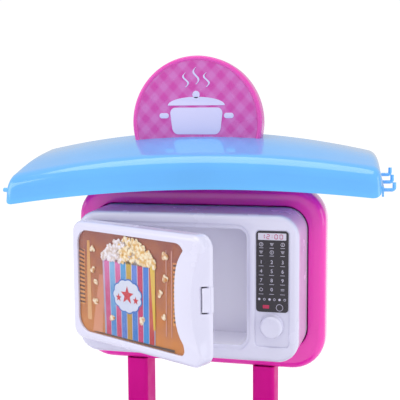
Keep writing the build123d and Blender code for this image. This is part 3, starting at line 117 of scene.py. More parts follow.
def round_rect(width, height, radius, arc=8, straight=1):
    """Outline of a rounded rectangle as (x, z), anticlockwise from its top right corner.

    radius is one number, or one for each corner in that order."""
    radii = radius if isinstance(radius, (list, tuple)) else [radius] * 4
    corners = []
    for (right, top), reach, start in zip(((1, 1), (-1, 1), (-1, -1), (1, -1)), radii, (0, 90, 180, 270)):
        corners.append((right * (width / 2 - reach), top * (height / 2 - reach), start, reach))
    points = []
    for index, (x, z, start, reach) in enumerate(corners):
        for step in range(arc + 1):
            angle = math.radians(start + 90 * step / arc)
            points.append((x + reach * math.cos(angle), z + reach * math.sin(angle)))
        x_next, z_next, start_next, reach_next = corners[(index + 1) % 4]
        angle = math.radians(start_next)
        end = (x_next + reach_next * math.cos(angle), z_next + reach_next * math.sin(angle))
        begin = points[-1]
        for step in range(1, straight):
            share = step / straight
            points.append((begin[0] + (end[0] - begin[0]) * share, begin[1] + (end[1] - begin[1]) * share))
    return points


def loft(name, loops, cap_first=False, cap_last=False, angle=32):
    """Skin over closed loops that all have the same number of points."""
    count = len(loops[0])
    verts = [point for loop in loops for point in loop]
    faces = []
    for row in range(len(loops) - 1):
        for column in range(count):
            a = row * count + column
            b = row * count + (column + 1) % count
            faces.append((a, b, b + count, a + count))
    if cap_first:
        faces.append(tuple(range(count))[::-1])
    if cap_last:
        faces.append(tuple(range(len(verts) - count, len(verts))))
    return mesh_object(name, verts, faces, angle)


def slab(name, outline, y_front, y_back, edge=0.0, steps=3):
    """Solid between two Y planes with this (x, z) outline and a rounded front edge."""
    centre_x = sum(p[0] for p in outline) / len(outline)
    centre_z = sum(p[1] for p in outline) / len(outline)

    def loop(y, inset):
        points = []
        for x, z in outline:
            reach = math.hypot(x - centre_x, z - centre_z) or 1.0
            scale = 1 - inset / reach
            points.append((centre_x + (x - centre_x) * scale, y, centre_z + (z - centre_z) * scale))
        return points

    loops = [loop(y_back, 0)]
    for step in range(steps + 1):
        turn = math.pi / 2 * step / steps
        loops.append(loop(y_front + edge * (1 - math.sin(turn)), edge * (1 - math.cos(turn))))
    return loft(name, loops, cap_first=True, cap_last=True)


def lathe(name, profile, centre, steps, axis="Y"):
    """Solid of revolution; profile is (radius, place along the axis), from axis to axis."""
    verts = []
    for radius, place in profile:
        for step in range(steps):
            turn = 2 * math.pi * step / steps
            u, v = radius * math.cos(turn), radius * math.sin(turn)
            verts.append((u, place, v) if axis == "Y" else (u, v, place))
    verts = [(x + centre[0], y + centre[1], z + centre[2]) for x, y, z in verts]
    faces = []
    for row in range(len(profile) - 1):
        for column in range(steps):
            a = row * steps + column
            b = row * steps + (column + 1) % steps
            faces.append((a, b, b + steps, a + steps))
    return mesh_object(name, verts, faces)


def joined(name, pieces, angle=32):
    """One object from several, which are removed."""
    bm = bmesh.new()
    for piece in pieces:
        part = piece.data.copy()
        part.transform(piece.matrix_world)
        bm.from_mesh(part)
    mesh = bpy.data.meshes.new(name)
    bm.to_mesh(mesh)
    bm.free()
    for piece in pieces:
        bpy.data.objects.remove(piece)
    smooth(mesh, angle)
    return add_object(name, mesh)


def place(obj, body, slot, material, *replaced):
    """Rides the piece on its body and gives it its finish."""
    obj.data.materials.clear()
    obj.data.materials.append(material)
    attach(obj, body)
    if replaced:
        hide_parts(*replaced)
    return obj


# ---- materials ------------------------------------------------------------------------------
def srgb(red, green, blue):
    """Linear colour from 0-255 display values."""
    def linear(value):
        value = value / 255
        return value / 12.92 if value <= 0.04045 else ((value + 0.055) / 1.055) ** 2.4

    return (linear(red), linear(green), linear(blue), 1.0)


def shade(colour, factor):
    return tuple(min(1.0, c * factor) for c in colour[:3]) + (1.0,)


class Nodes:
    """A new material's node tree, with short calls for the nodes used here."""

    def __init__(self, name):
        self.material = bpy.data.materials.new(name)
        self.material.use_nodes = True
        self.tree = self.material.node_tree
        self.shader = self.tree.nodes["Principled BSDF"]
        self.output = self.tree.nodes["Material Output"]
        self.coords = self.add("ShaderNodeTexCoord").outputs["Object"]

    def add(self, kind, **settings):
        node = self.tree.nodes.new(kind)
        for key, value in settings.items():
            setattr(node, key, value)
        return node

    def link(self, source, target):
        self.tree.links.new(source, target)

    def put(self, node, socket, value):
        if isinstance(value, bpy.types.NodeSocket):
            self.link(value, node.inputs[socket])
        else:
            node.inputs[socket].default_value = value

    def noise(self, scale, detail=3.0):
        node = self.add("ShaderNodeTexNoise")
        node.inputs["Scale"].default_value = scale
        node.inputs["Detail"].default_value = detail
        self.link(self.coords, node.inputs["Vector"])
        return node.outputs["Fac"]

    def remap(self, value, low, high, to_low, to_high):
        node = self.add("ShaderNodeMapRange")
        for socket, number in zip((1, 2, 3, 4), (low, high, to_low, to_high)):
            node.inputs[socket].default_value = number
        self.link(value, node.inputs[0])
        return node.outputs[0]

    def math(self, operation, a, b=0.0):
        node = self.add("ShaderNodeMath", operation=operation)
        self.put(node, 0, a)
        self.put(node, 1, b)
        return node.outputs[0]

    def mix(self, factor, a, b):
        node = self.add("ShaderNodeMix", data_type="RGBA")
        self.put(node, 0, factor)
        self.put(node, 6, a)
        self.put(node, 7, b)
        return node.outputs[2]

    def bump(self, height, distance, strength=1.0, normal=None):
        node = self.add("ShaderNodeBump")
        node.inputs["Distance"].default_value = distance
        node.inputs["Strength"].default_value = strength
        self.link(height, node.inputs["Height"])
        if normal is not None:
            self.link(normal, node.inputs["Normal"])
        return node.outputs["Normal"]

    def dress(self, tone, roughness, normal):
        for socket, source in (("Base Color", tone), ("Roughness", roughness), ("Normal", normal)):
            self.link(source, self.shader.inputs[socket])

    def axes(self):
        node = self.add("ShaderNodeSeparateXYZ")
        self.link(self.coords, node.inputs[0])
        return node.outputs


def edge_share(nodes):
    """0 on flat faces, 1 on outer edges."""
    geometry = nodes.add("ShaderNodeNewGeometry")
    return nodes.remap(geometry.outputs["Pointiness"], 0.505, 0.56, 0.0, 1.0)


def plastic(name, colour, rough=0.2, coat=0.4, peel=1.0, variation=0.05, edge=0.35, specular=0.5):
    """Moulded gloss plastic: faint flow mottling, outer edges lightened as a painted highlight, orange peel and
    haze.
    """
    nodes = Nodes(name)
    mottle = nodes.remap(nodes.noise(9.0), 0.3, 0.7, 0.0, 1.0)
    tone = nodes.mix(mottle, shade(colour, 1 - variation), shade(colour, 1 + variation))
    speck = nodes.remap(nodes.noise(420.0, 2.0), 0.62, 0.78, 0.0, 0.35)
    tone = nodes.mix(speck, tone, shade(colour, 1 - 2 * variation))
    # Painted highlight: outer edges, found by pointiness, are mixed towards a paler copy of the colour; edge sets
    # how far.
    edge_highlight = nodes.math("MULTIPLY", edge_share(nodes), edge)
    tone = nodes.mix(edge_highlight, tone, shade(colour, 1.25))
    haze = nodes.remap(nodes.noise(26.0, 4.0), 0.3, 0.7, rough * 0.75, rough * 1.35)
    waves = nodes.bump(nodes.noise(18.0, 1.0), 0.0003 * peel, 0.5)
    grain = nodes.bump(nodes.noise(700.0, 2.0), 0.00004 * peel, 0.6, waves)
    nodes.dress(tone, haze, grain)
    nodes.shader.inputs["Coat Weight"].default_value = coat
    nodes.shader.inputs["Coat Roughness"].default_value = 0.06
    nodes.shader.inputs["IOR"].default_value = 1.5
    nodes.shader.inputs["Specular IOR Level"].default_value = specular
    return nodes.material


BLUE = srgb(96, 178, 246)
PINK = srgb(248, 40, 180)
SIGN_PINK = srgb(226, 72, 178)
EMBLEM = srgb(206, 204, 240)
LINER = srgb(240, 238, 250)
MAGENTA = srgb(214, 14, 142)
WHITE = srgb(217, 215, 236)


def make_materials():
    return {
        "blue_plastic": plastic("blue_plastic", BLUE, rough=0.12, coat=0.8),
        "pink_plastic": plastic("pink_plastic", PINK, rough=0.18, coat=0.6),
        "magenta_plastic": plastic("magenta_plastic", MAGENTA, rough=0.5, coat=0.0, specular=0.1),
        "white_plastic": plastic("white_plastic", WHITE, rough=0.22, coat=0.4, variation=0.02),
        "grey_plastic": plastic("grey_plastic", srgb(160, 163, 174), rough=0.38, coat=0.1, peel=1.6),
        "black_label": plastic("black_label", srgb(34, 28, 38), rough=0.28, coat=0.1, variation=0.1),
        "printed_label": plastic("printed_label", srgb(205, 90, 170), rough=0.3, coat=0.3),
        "steel": plastic("steel", srgb(170, 172, 178), rough=0.3, coat=0.0),
    }


def dress_cad_nodes(finishes):
    """Every CAD node that stays visible takes its slot's finish."""
    for part in frame["record"]["subparts"]:
        node = frame["nodes"][part["node"]]
        node.data.materials.clear()
        node.data.materials.append(finishes[part["material_slot"]])
        smooth(node.data, 30)
    liner = frame["nodes"]["cavity_liner"].data.materials
    liner.clear()
    liner.append(plastic("liner_white", LINER, rough=0.4, coat=0.1, variation=0.02))


# ---- canopy ---------------------------------------------------------------------------------
CANOPY_FRONT = 10.0
CANOPY_BACK = 131.0
CANOPY_RAKE = 4.0
CANOPY_FRONT_HALF = 244.0
CANOPY_BACK_HALF = 232.0
CANOPY_LIP, CANOPY_LIP_FALL = 831.0, 16.0
CANOPY_RIDGE, CANOPY_RIDGE_FALL = 872.0, 22.0
CANOPY_TOP, CANOPY_TOP_FALL = 902.0, 27.0
CANOPY_BACK_HEIGHT = 48.0
CANOPY_RIDGE_ROUND = 19.0
CANOPY_BACK_ROUND = 9.0
CANOPY_END_ROUND = 10.0
LIP_END_RISE, LIP_END_SHARE = 10.0, 0.05
CANOPY_CROWN = 3.0
CROWN_STEPS = 8
CANOPY_TWIST = 9.0
CANOPY_WALL = 2.8
CANOPY_END_STEPS = 6
CANOPY_STATIONS = 60
PEG_DROP, PEG_ROOT, PEG_DOME = 5.0, 8.0, 0.7


def bend(start, corner, end, reach, steps):
    """Rounds a corner: points of the curve that leaves and meets its two straight sides."""
    a = corner + (start - corner).normalized() * reach
    b = corner + (end - corner).normalized() * reach
    return [a.lerp(corner, t / steps).lerp(corner.lerp(b, t / steps), t / steps) for t in range(steps + 1)]


def canopy_profile(side, inset, steps=7):
    """(y, z) points from the front lip's foot, over the top, to the back wall's foot."""
    fall = side * side
    near_end = max(0.0, 1 - (1 - abs(side)) / LIP_END_SHARE)
    lip_rise = LIP_END_RISE * (1 - math.sqrt(1 - near_end ** 2))
    lip = Vector((CANOPY_FRONT + inset, CANOPY_LIP - CANOPY_LIP_FALL * fall + lip_rise))
    ridge = Vector((CANOPY_FRONT + CANOPY_RAKE + inset, CANOPY_RIDGE - CANOPY_RIDGE_FALL * fall - inset))
    top = Vector((CANOPY_BACK - inset, CANOPY_TOP - CANOPY_TOP_FALL * fall - inset))
    foot_height = CANOPY_TOP - CANOPY_TOP_FALL * fall - CANOPY_BACK_HEIGHT
    foot = Vector((CANOPY_BACK + CANOPY_RAKE - inset, foot_height))
    front_round = min(CANOPY_RIDGE_ROUND - inset * 0.6, 0.62 * (ridge - lip).length)
    back_round = max(CANOPY_BACK_ROUND - inset * 0.6, 3.0)
    points = [lip, lip.lerp(ridge, 0.2)]
    points += bend(lip, ridge, top, front_round, steps)
    flat = (top - ridge).length
    first, last = front_round / flat, 1 - back_round / flat
    for step in range(1, CROWN_STEPS):
        share = step / CROWN_STEPS
        crown = CANOPY_CROWN * math.sin(math.pi * share)
        points.append(ridge.lerp(top, first + (last - first) * share) + Vector((0, crown)))
    points += bend(ridge, top, foot, back_round, steps)
    return points + [top.lerp(foot, 0.6), foot]


def canopy_loop(side, inset, from_end):
    """One section across the canopy; side runs from -1 to 1, and from_end insets a rounded end."""
    points = []
    depth = CANOPY_BACK - CANOPY_FRONT
    for y, z in canopy_profile(side, inset):
        share = min(1.0, max(0.0, (y - CANOPY_FRONT) / depth))
        half = CANOPY_FRONT_HALF + (CANOPY_BACK_HALF - CANOPY_FRONT_HALF) * share
        x = math.copysign(half - from_end, side) if from_end is not None else half * side
        points.append((x * MM, y * MM, (z + CANOPY_TWIST * side * (1 - share)) * MM))
    return points


def canopy(material):
    """Arched shell, open below, with rounded ends and a slight twist along its length."""
    reach = 1 - CANOPY_END_ROUND / CANOPY_BACK_HALF
    ends = []
    for step in range(1, CANOPY_END_STEPS + 1):
        turn = math.pi / 2 * step / CANOPY_END_STEPS
        from_end = CANOPY_END_ROUND * (1 - math.sin(turn))
        ends.append((CANOPY_END_ROUND * (1 - math.cos(turn)), from_end))

    def end_loop(hand, inset, from_end):
        return canopy_loop(hand * (1 - from_end / CANOPY_FRONT_HALF), inset, from_end)

    loops = [end_loop(-1, *end) for end in reversed(ends)]
    for station in range(CANOPY_STATIONS + 1):
        loops.append(canopy_loop(reach * (2 * station / CANOPY_STATIONS - 1), 0, None))
    loops += [end_loop(1, *end) for end in ends]
    count = len(loops[0])
    verts = [point for loop in loops for point in loop]
    faces = []
    for row in range(len(loops) - 1):
        for column in range(count - 1):
            a = row * count + column
            faces.append((a, a + count, a + count + 1, a + 1))
    faces.append(tuple(range(count)))
    faces.append(tuple(range(len(verts) - count, len(verts)))[::-1])
    shell = mesh_object("canopy_shell", verts, faces, 40)
    solidify(shell, CANOPY_WALL * MM)
    place(shell, ROOT, "blue_plastic", material, "canopy")


def side_peg(material):
    """Domed nub on the canopy's left end, standing on the sloping end wall."""
    low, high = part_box("side_peg")
    y, z = (low.y + high.y) / 2, (low.z + high.z) / 2 - PEG_DROP * MM
    radius, length = (high.z - low.z) / 2, high.x - low.x + PEG_ROOT * MM
    dome = radius * PEG_DOME
    profile = [(0, 0), (radius, 0), (radius, length - dome)]
    for step in range(1, 7):
        turn = math.pi / 2 * step / 6
        profile.append((radius * math.cos(turn), length - dome * (1 - math.sin(turn))))
    peg = lathe("side_peg_shell", profile, (0, 0, 0), steps=32, axis="Z")
    peg.data.transform(Matrix.Translation((low.x + length, y, z)) @ Matrix.Rotation(-math.pi / 2, 4, "Y"))
    place(peg, ROOT, "blue_plastic", material, "side_peg")


# ---- marks on the base ------------------------------------------------------------------------
KNOBS = (
    ("hob_knob_l", "hob_knob_left"), ("hob_knob_r", "hob_knob_right"), ("oven_knob_body", "oven_knob"),
)
POINTER_WIDTH, POINTER_LENGTH, POINTER_SPOT = 2.2, 7.0, 0.55
DIAL_DOTS, DIAL_SWEEP, DIAL_DOT, DIAL_REACH = 9, 270, 2.0, 1.3


def moved(outline, x, z):
    """An outline in millimetres, moved to a spot in metres."""
    return [(x + across * MM, z + up * MM) for across, up in outline]


def knob_marks(material, dial_material):
    """A raised pointer on each fascia knob and a ring of printed dots around it."""
    for body, node in KNOBS:
        low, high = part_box(node)
        x, z = (low.x + high.x) / 2, (low.z + high.z) / 2
        reach = (high.x - low.x) / 2
        outline = moved(round_rect(POINTER_WIDTH, POINTER_LENGTH, 1.0, arc=4), x, z + reach * POINTER_SPOT)
        pointer = slab(node + "_pointer", outline, low.y - 0.5 * MM, low.y + 1.5 * MM, 0.3 * MM)
        place(pointer, body, "magenta_plastic", material)
        dots = []
        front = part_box("fascia")[0].y
        for step in range(DIAL_DOTS):
            turn = math.radians(90 + DIAL_SWEEP * (step / (DIAL_DOTS - 1) - 0.5))
            spot_x = x + reach * DIAL_REACH * math.cos(turn)
            spot_z = z + reach * DIAL_REACH * math.sin(turn)
            outline = moved(round_rect(DIAL_DOT, DIAL_DOT, DIAL_DOT * 0.475, arc=3), spot_x, spot_z)
            dots.append(slab("dot", outline, front - 0.15 * MM, front + 0.1 * MM))
        place(joined(node + "_dial", dots), ROOT, "printed_label", dial_material)


# ---- sign -----------------------------------------------------------------------------------
SIGN_CENTRE = (-1.2, 912.9)
SIGN_RADIUS = 88.3
SIGN_FRONT = 89.5
SIGN_SEAM = 107.0
SIGN_BACK = 113.0
SIGN_RIM = 5.2
SIGN_STEP = 1.5
CHECK_REPEAT = 0.026
EMBLEM_SIZE = 1.18
ROOF_SLOPE = (CANOPY_TOP - CANOPY_RIDGE) / (CANOPY_BACK - CANOPY_FRONT - CANOPY_RAKE)
SIGN_FOOT = 888.5


def trim_to_roof(obj):
    """Cuts away what would reach through the canopy's top."""
    bm = bmesh.new()
    bm.from_mesh(obj.data)
    geometry = bm.verts[:] + bm.edges[:] + bm.faces[:]
    point = (0, SIGN_FRONT * MM, SIGN_FOOT * MM)
    bmesh.ops.bisect_plane(bm, geom=geometry, plane_co=point, plane_no=(0, -ROOF_SLOPE, 1), clear_inner=True)
    bmesh.ops.holes_fill(bm, edges=[edge for edge in bm.edges if edge.is_boundary])
    bmesh.ops.recalc_face_normals(bm, faces=bm.faces)
    bm.to_mesh(obj.data)
    bm.free()
    smooth(obj.data)


def sign_disc(name, profile):
    scaled = [(radius * MM, y * MM) for radius, y in profile]
    disc = lathe(name, scaled, (SIGN_CENTRE[0] * MM, 0, SIGN_CENTRE[1] * MM), steps=160)
    trim_to_roof(disc)
    return disc


def gingham(name):
    """Printed check: two crossing sets of bands, each half as wide as its repeat."""
    nodes = Nodes(name)
    axes = nodes.axes()
    bands = []
    for sign in (1, -1):
        up = nodes.math("MULTIPLY", axes[2], sign * 0.92)
        turn = nodes.math("DIVIDE", nodes.math("ADD", axes[0], up), CHECK_REPEAT)
        wave = nodes.math("SINE", nodes.math("MULTIPLY", turn, 2 * math.pi))
        bands.append(nodes.remap(wave, -0.5, 0.5, 0.0, 0.5))
    share = nodes.math("ADD", bands[0], bands[1])
    print_noise = nodes.remap(nodes.noise(900.0, 2.0), 0.3, 0.7, -0.08, 0.08)
    share = nodes.math("ADD", share, print_noise)
    tone = nodes.mix(share, srgb(202, 62, 166), srgb(206, 112, 190))
    haze = nodes.remap(nodes.noise(40.0), 0.3, 0.7, 0.2, 0.34)
    nodes.dress(tone, haze, nodes.bump(nodes.noise(1200.0, 1.0), 0.00002, 0.5))
    nodes.shader.inputs["Coat Weight"].default_value = 0.4
    return nodes.material


def emblem_outlines():
    """A cooking pot with a lid and steam, as (x, z) outlines around the sign's centre."""
    body = round_rect(62, 30, 7, arc=6)
    body = [(x * (0.94 + 0.004 * z), z) for x, z in body]
    lid = [(33 * math.cos(math.pi * t / 24), 17.5 + 9.5 * math.sin(math.pi * t / 24)) for t in range(25)]
    knob = [(4.2 * math.cos(math.pi * t / 12), 29.5 + 4.2 * math.sin(math.pi * t / 12)) for t in range(24)]
    shapes = [body, lid, knob]
    for sign in (-1, 1):
        shapes.append([(sign * 37.5 + x, 6 + z) for x, z in round_rect(11, 6, 2.9, arc=5)])
        shapes.append([(sign * 12 + x, z) for x, z in wisp(38, 54)])
    shapes.append(wisp(41, 60))
    return [[(x * EMBLEM_SIZE, (z + 2) * EMBLEM_SIZE) for x, z in shape] for shape in shapes]


def wisp(low, high, width=2.6, sway=3.0, steps=20):
    """A tapering wavy ribbon of steam."""
    left, right = [], []
    for step in range(steps + 1):
        share = step / steps
        z = low + (high - low) * share
        middle = sway * math.sin(2 * math.pi * share)
        half = width / 2 * math.sin(math.pi * min(0.95, max(0.12, share)))
        left.append((middle - half, z))
        right.append((middle + half, z))
    return right + left[::-1]


def sign(finish, print_finish, emblem_finish):
    step = SIGN_FRONT + SIGN_STEP
    inner = SIGN_RADIUS - SIGN_RIM
    front = sign_disc("sign_face_shell", [
        (0, step), (inner - 0.6, step), (inner, step - 0.3), (inner + 0.4, SIGN_FRONT + 0.6),
        (inner + 1.2, SIGN_FRONT + 0.1), (inner + 2.2, SIGN_FRONT), (SIGN_RADIUS - 2.4, SIGN_FRONT + 0.1),
        (SIGN_RADIUS - 1.0, SIGN_FRONT + 0.7), (SIGN_RADIUS - 0.2, SIGN_FRONT + 1.8),
        (SIGN_RADIUS, SIGN_FRONT + 3.2), (SIGN_RADIUS, SIGN_SEAM - 0.7),
        (SIGN_RADIUS - 0.7, SIGN_SEAM - 0.1), (0, SIGN_SEAM - 0.1),
    ])
    place(front, ROOT, "pink_plastic", finish, "sign_front")
    back = sign_disc("sign_back_shell", [
        (0, SIGN_SEAM), (SIGN_RADIUS - 0.8, SIGN_SEAM), (SIGN_RADIUS, SIGN_SEAM + 0.7),
        (SIGN_RADIUS, SIGN_BACK - 2.2), (SIGN_RADIUS - 0.6, SIGN_BACK - 0.8), (SIGN_RADIUS - 2.2, SIGN_BACK),
        (0, SIGN_BACK),
    ])
    place(back, ROOT, "pink_plastic", finish, "sign_back")
    y_face = step - 0.25
    y_back = step + 0.1
    label = sign_disc("sign_print", [(0, y_face), (inner - 1.0, y_face), (inner - 0.8, y_back), (0, y_back)])
    place(label, ROOT, "printed_label", print_finish, "sign_label")
    shapes = []
    for index, outline in enumerate(emblem_outlines()):
        raised = moved(outline, SIGN_CENTRE[0] * MM, SIGN_CENTRE[1] * MM)
        shapes.append(slab("emblem_%d" % index, raised, (y_face - 0.5) * MM, (y_face + 0.1) * MM, 0.2 * MM))
    place(joined("sign_emblem", shapes), ROOT, "white_plastic", emblem_finish)


# ---- back panel and microwave housing -----------------------------------------------------------
PANEL_WIDTH, PANEL_HEIGHT, PANEL_CORNER = 342.0, 243.0, 45.0
PANEL_MIDDLE = 706.5
PANEL_FRONT, PANEL_BACK = 90.0, 134.0
PANEL_ROUND = 10.0
PANEL_WALL = 3.0
HOUSING_WIDTH, HOUSING_HEIGHT, HOUSING_CORNER = 290.0, 185.2, 27.0
HOUSING_MIDDLE = 707.6
HOUSING_FRONT = 18.4
HOUSING_ROUND = 6.0
HOUSING_SLOPE = math.tan(math.radians(1.9))
SEAM = 1.3
CAVITY_X, CAVITY_Z = -21.0, 708.35
CAVITY_WIDTH, CAVITY_HEIGHT, CAVITY_CORNER = 202.0, 148.7, 12.0
RECESS_MARGIN = 5.5
RECESS_FLOOR = 20.4
CONTROL_X, CONTROL_WIDTH, CONTROL_HEIGHT = 112.3, 42.4, 146.7
HOUSING_ARC = 10
HOUSING_STRAIGHT = 14
HOUSING_WALL = 2.6
EAR_RADIUS, EAR_HEIGHT, EAR_EDGE, EAR_STEPS, EAR_INSET = 3.6, 7.0, 0.5, 12, 11
TIMER_RADIUS, TIMER_DEPTH, TIMER_POINTER = 14.5, 11, 8.2


def framed_loop(width, height, corner, x, z, y, grow=0.0):
    """One loop of a moulded box seen from the front, grown or shrunk evenly."""
    outline = round_rect(
        width + 2 * grow, height + 2 * grow, max(corner + grow, 1.0), HOUSING_ARC, HOUSING_STRAIGHT
    )
    return [((px + x) * MM, y * MM, (pz + z) * MM) for px, pz in outline]


def quarter(radius, steps=6):
    """(depth, inset) pairs of a rounded front edge, from the side to the front face."""
    for step in range(steps + 1):
        turn = math.pi / 2 * step / steps
        yield radius * (1 - math.sin(turn)), radius * (1 - math.cos(turn))


def back_panel(material):
    """Deep pink shell with a soft front edge and an opening for the microwave."""
    def outer(y, inset):
        return framed_loop(PANEL_WIDTH, PANEL_HEIGHT, PANEL_CORNER, 0, PANEL_MIDDLE, y, -inset)

    def opening(y, grow):
        growth = (PANEL_FRONT - HOUSING_FRONT) * HOUSING_SLOPE + SEAM
        return framed_loop(
            HOUSING_WIDTH + 2 * growth, HOUSING_HEIGHT + 2 * growth, HOUSING_CORNER + growth,
            0, HOUSING_MIDDLE, y, grow,
        )

    loops = [outer(PANEL_BACK, 0.6), outer(PANEL_BACK - 8, 0), outer(PANEL_BACK - 18, -0.8)]
    loops.append(outer(PANEL_FRONT + PANEL_ROUND + 6, -0.6))
    loops += [outer(PANEL_FRONT + depth, inset - 0.3) for depth, inset in quarter(PANEL_ROUND)]
    loops += [opening(PANEL_FRONT, 2.0), opening(PANEL_FRONT + 0.4, 0.7), opening(PANEL_FRONT + 1.6, 0.0)]
    loops.append(opening(PANEL_FRONT + PANEL_WALL, 0.0))
    shell = loft("back_panel_shell", loops)
    solidify(shell, PANEL_WALL * MM * 0.9)
    place(shell, ROOT, "pink_plastic", material, "back_panel")


def control_cutter():
    """Soft-edged tool for the shallow control recess."""
    steps = [(-1.4, 1.6), (-0.05, 1.6), (0.25, 0.7), (0.9, 0.2), (RECESS_FLOOR - HOUSING_FRONT, 0.0)]
    loops = [
        framed_loop(CONTROL_WIDTH, CONTROL_HEIGHT, 5.0, CONTROL_X, CAVITY_Z, HOUSING_FRONT + depth, grow)
        for depth, grow in steps
    ]
    return loft("control_cutter", loops, cap_first=True, cap_last=True)


def hinge_ear(name, x, y, z, radius=EAR_RADIUS, height=EAR_HEIGHT):
    """Rounded ear that carries the door's pin, from the housing's face out to the hinge line."""
    outline = []
    for step in range(EAR_STEPS + 1):
        turn = math.pi * (1 + step / EAR_STEPS)
        outline.append((x + radius * math.cos(turn), y + radius * math.sin(turn)))
    outline += [(x + radius, RECESS_FLOOR), (x - radius, RECESS_FLOOR)]
    half = height / 2
    loops = []
    for level, inset in ((-half, EAR_EDGE), (EAR_EDGE - half, 0), (half - EAR_EDGE, 0), (half, EAR_EDGE)):
        narrow, shallow = 1 - inset / radius, 1 - inset / (2 * radius)
        loops.append([
            ((x + (px - x) * narrow) * MM, (y + (py - y) * shallow) * MM, (z + level) * MM)
            for px, py in outline
        ])
    return loft(name, loops, cap_first=True, cap_last=True)


def housing(material):
    """White front of the microwave: drafted sides, soft edge, stepped door recess, control recess."""
    def outer(y, inset):
        growth = (y - HOUSING_FRONT) * HOUSING_SLOPE
        return framed_loop(
            HOUSING_WIDTH, HOUSING_HEIGHT, HOUSING_CORNER, 0, HOUSING_MIDDLE, y, growth - inset
        )

    def cavity(y, grow, shift=0.0):
        return framed_loop(CAVITY_WIDTH, CAVITY_HEIGHT, CAVITY_CORNER, CAVITY_X - shift, CAVITY_Z, y, grow)

    loops = [outer(y, 0) for y in (PANEL_FRONT + 3, 70, 50, 34)]
    loops += [outer(HOUSING_FRONT + depth, inset) for depth, inset in quarter(HOUSING_ROUND)]
    for depth, grow in ((0, 1.6), (0.3, 0.7), (1.0, 0.1), (1.7, -0.5), (2.0, -1.6)):
        loops.append(cavity(HOUSING_FRONT + depth, RECESS_MARGIN + grow, 2.0))
    for depth, grow in ((0, 1.8), (0.3, 0.7), (1.1, 0.0), (2.0, 0.0)):
        loops.append(cavity(RECESS_FLOOR + depth, grow))
    shell = loft("housing_shell", loops, angle=40)
    solidify(shell, HOUSING_WALL * MM)
    cut(shell, [control_cutter()])
    low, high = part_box("door_hinge_pins")
    x, y = (low.x + high.x) / 2 / MM, (low.y + high.y) / 2 / MM
    levels = (low.z / MM + EAR_INSET, high.z / MM - EAR_INSET)
    ears = [hinge_ear("ear_%d" % index, x, y, z) for index, z in enumerate(levels)]
    shell = joined("microwave_shell", [shell] + ears, 40)
    place(shell, ROOT, "white_plastic", material, "microwave_housing")


def timer(material):
    """Plain round knob with a soft edge, a dished face and a small moulded pointer."""
    low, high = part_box("timer_knob")
    x, z = (low.x + high.x) / 2, (low.z + high.z) / 2
    radius, face, back = TIMER_RADIUS * MM, low.y, low.y + TIMER_DEPTH * MM
    profile = [(0, face + 0.5 * MM), (6 * MM, face + 0.4 * MM), (9.5 * MM, face + 0.1 * MM)]
    for step in range(7):
        turn = math.pi / 2 * step / 6
        edge = radius - 3.6 * MM + 3 * MM * math.sin(turn)
        profile.append((edge, face + 3 * MM * (1 - math.cos(turn))))
    skirt = radius + 0.4 * MM
    profile += [(radius, back - 1.2 * MM), (skirt, back - 0.4 * MM), (skirt, back), (0, back)]
    knob = lathe("knob_body", profile, (x, 0, z), steps=72)
    outline = moved(round_rect(1.6, 4.2, 0.75, arc=4), x, z + TIMER_POINTER * MM)
    pointer = slab("knob_pointer", outline, face - 0.35 * MM, face + 0.8 * MM, 0.25 * MM)
    place(joined("timer_knob_shell", [knob, pointer]), "timer", "white_plastic", material, "timer_knob")


# ---- microwave door ---------------------------------------------------------------------------
# Built shut, in (u, z): u runs along the door from its hinge edge. hang() swings it to its rest pose.
DOOR_X = -142.3
DOOR_WIDTH = 224.0
DOOR_LOW, DOOR_HIGH, DOOR_CORNER = 638.0, 790.5, 16.0
DOOR_FRONT, DOOR_BACK = -3.1, 15.5
DOOR_ROUND = 6.5
DOOR_WALL = 2.4
CREASE_U, CREASE_Z, CREASE_BEND = 207.0, 714.0, 0.0042
SCOOP_POWER = 0.8
WINDOW_LEFT, WINDOW_RIGHT = 12.0, 197.0
WINDOW_LOW, WINDOW_HIGH = 649.0, 779.6
WINDOW_RADII = (14.0, 17.0, 20.0, 7.0)
WAIST_U, WAIST_Z = 181.7, 717.0
WAIST_BEND, WAIST_FLARE = 0.001, 1.24e-6
LENS_EDGE_Y = -2.3
LENS_DOME = 2.2
LENS_THICK = 1.2
DOOR_ARC = 10
DOOR_STRAIGHT = 16
CLEAR_FALLOFF = 5.0
CLEAR_FACE_ON = 0.012
LENS_RINGS = 9
CATCH_U, CATCH_REACH, CATCH_GROOVE = 216.0, 16.0, 2.0


def hang(obj):
    """Swings a piece built for the shut door to the rest pose."""
    joint = [entry for entry in frame["joints"] if entry["name"] == "microwave_door_hinge"][0]
    pin = Vector(joint["pos_m"])
    swing = Matrix.Rotation(math.radians(joint["range_deg"][0]), 4, "Z")
    obj.data.transform(Matrix.Translation(pin) @ swing @ Matrix.Translation(-pin))
    return obj


def door_point(u, y, z):
    return ((u + DOOR_X) * MM, y * MM, z * MM)


def door_edge(inset, depth):
    """The door's outline at this depth; its free edge falls away from a curved crease."""
    outline = round_rect(
        DOOR_WIDTH - 2 * inset, DOOR_HIGH - DOOR_LOW - 2 * inset, DOOR_CORNER - inset,
        DOOR_ARC, DOOR_STRAIGHT,
    )
    points = []
    for x, z in outline:
        u, z = x + DOOR_WIDTH / 2, z + (DOOR_LOW + DOOR_HIGH) / 2
        crease = CREASE_U + CREASE_BEND * (z - CREASE_Z) ** 2
        share = max(0.0, depth / (DOOR_BACK - DOOR_FRONT)) ** SCOOP_POWER
        limit = crease + (DOOR_WIDTH - crease) * share if crease < DOOR_WIDTH else DOOR_WIDTH
        points.append((min(u, limit), z))
    return points


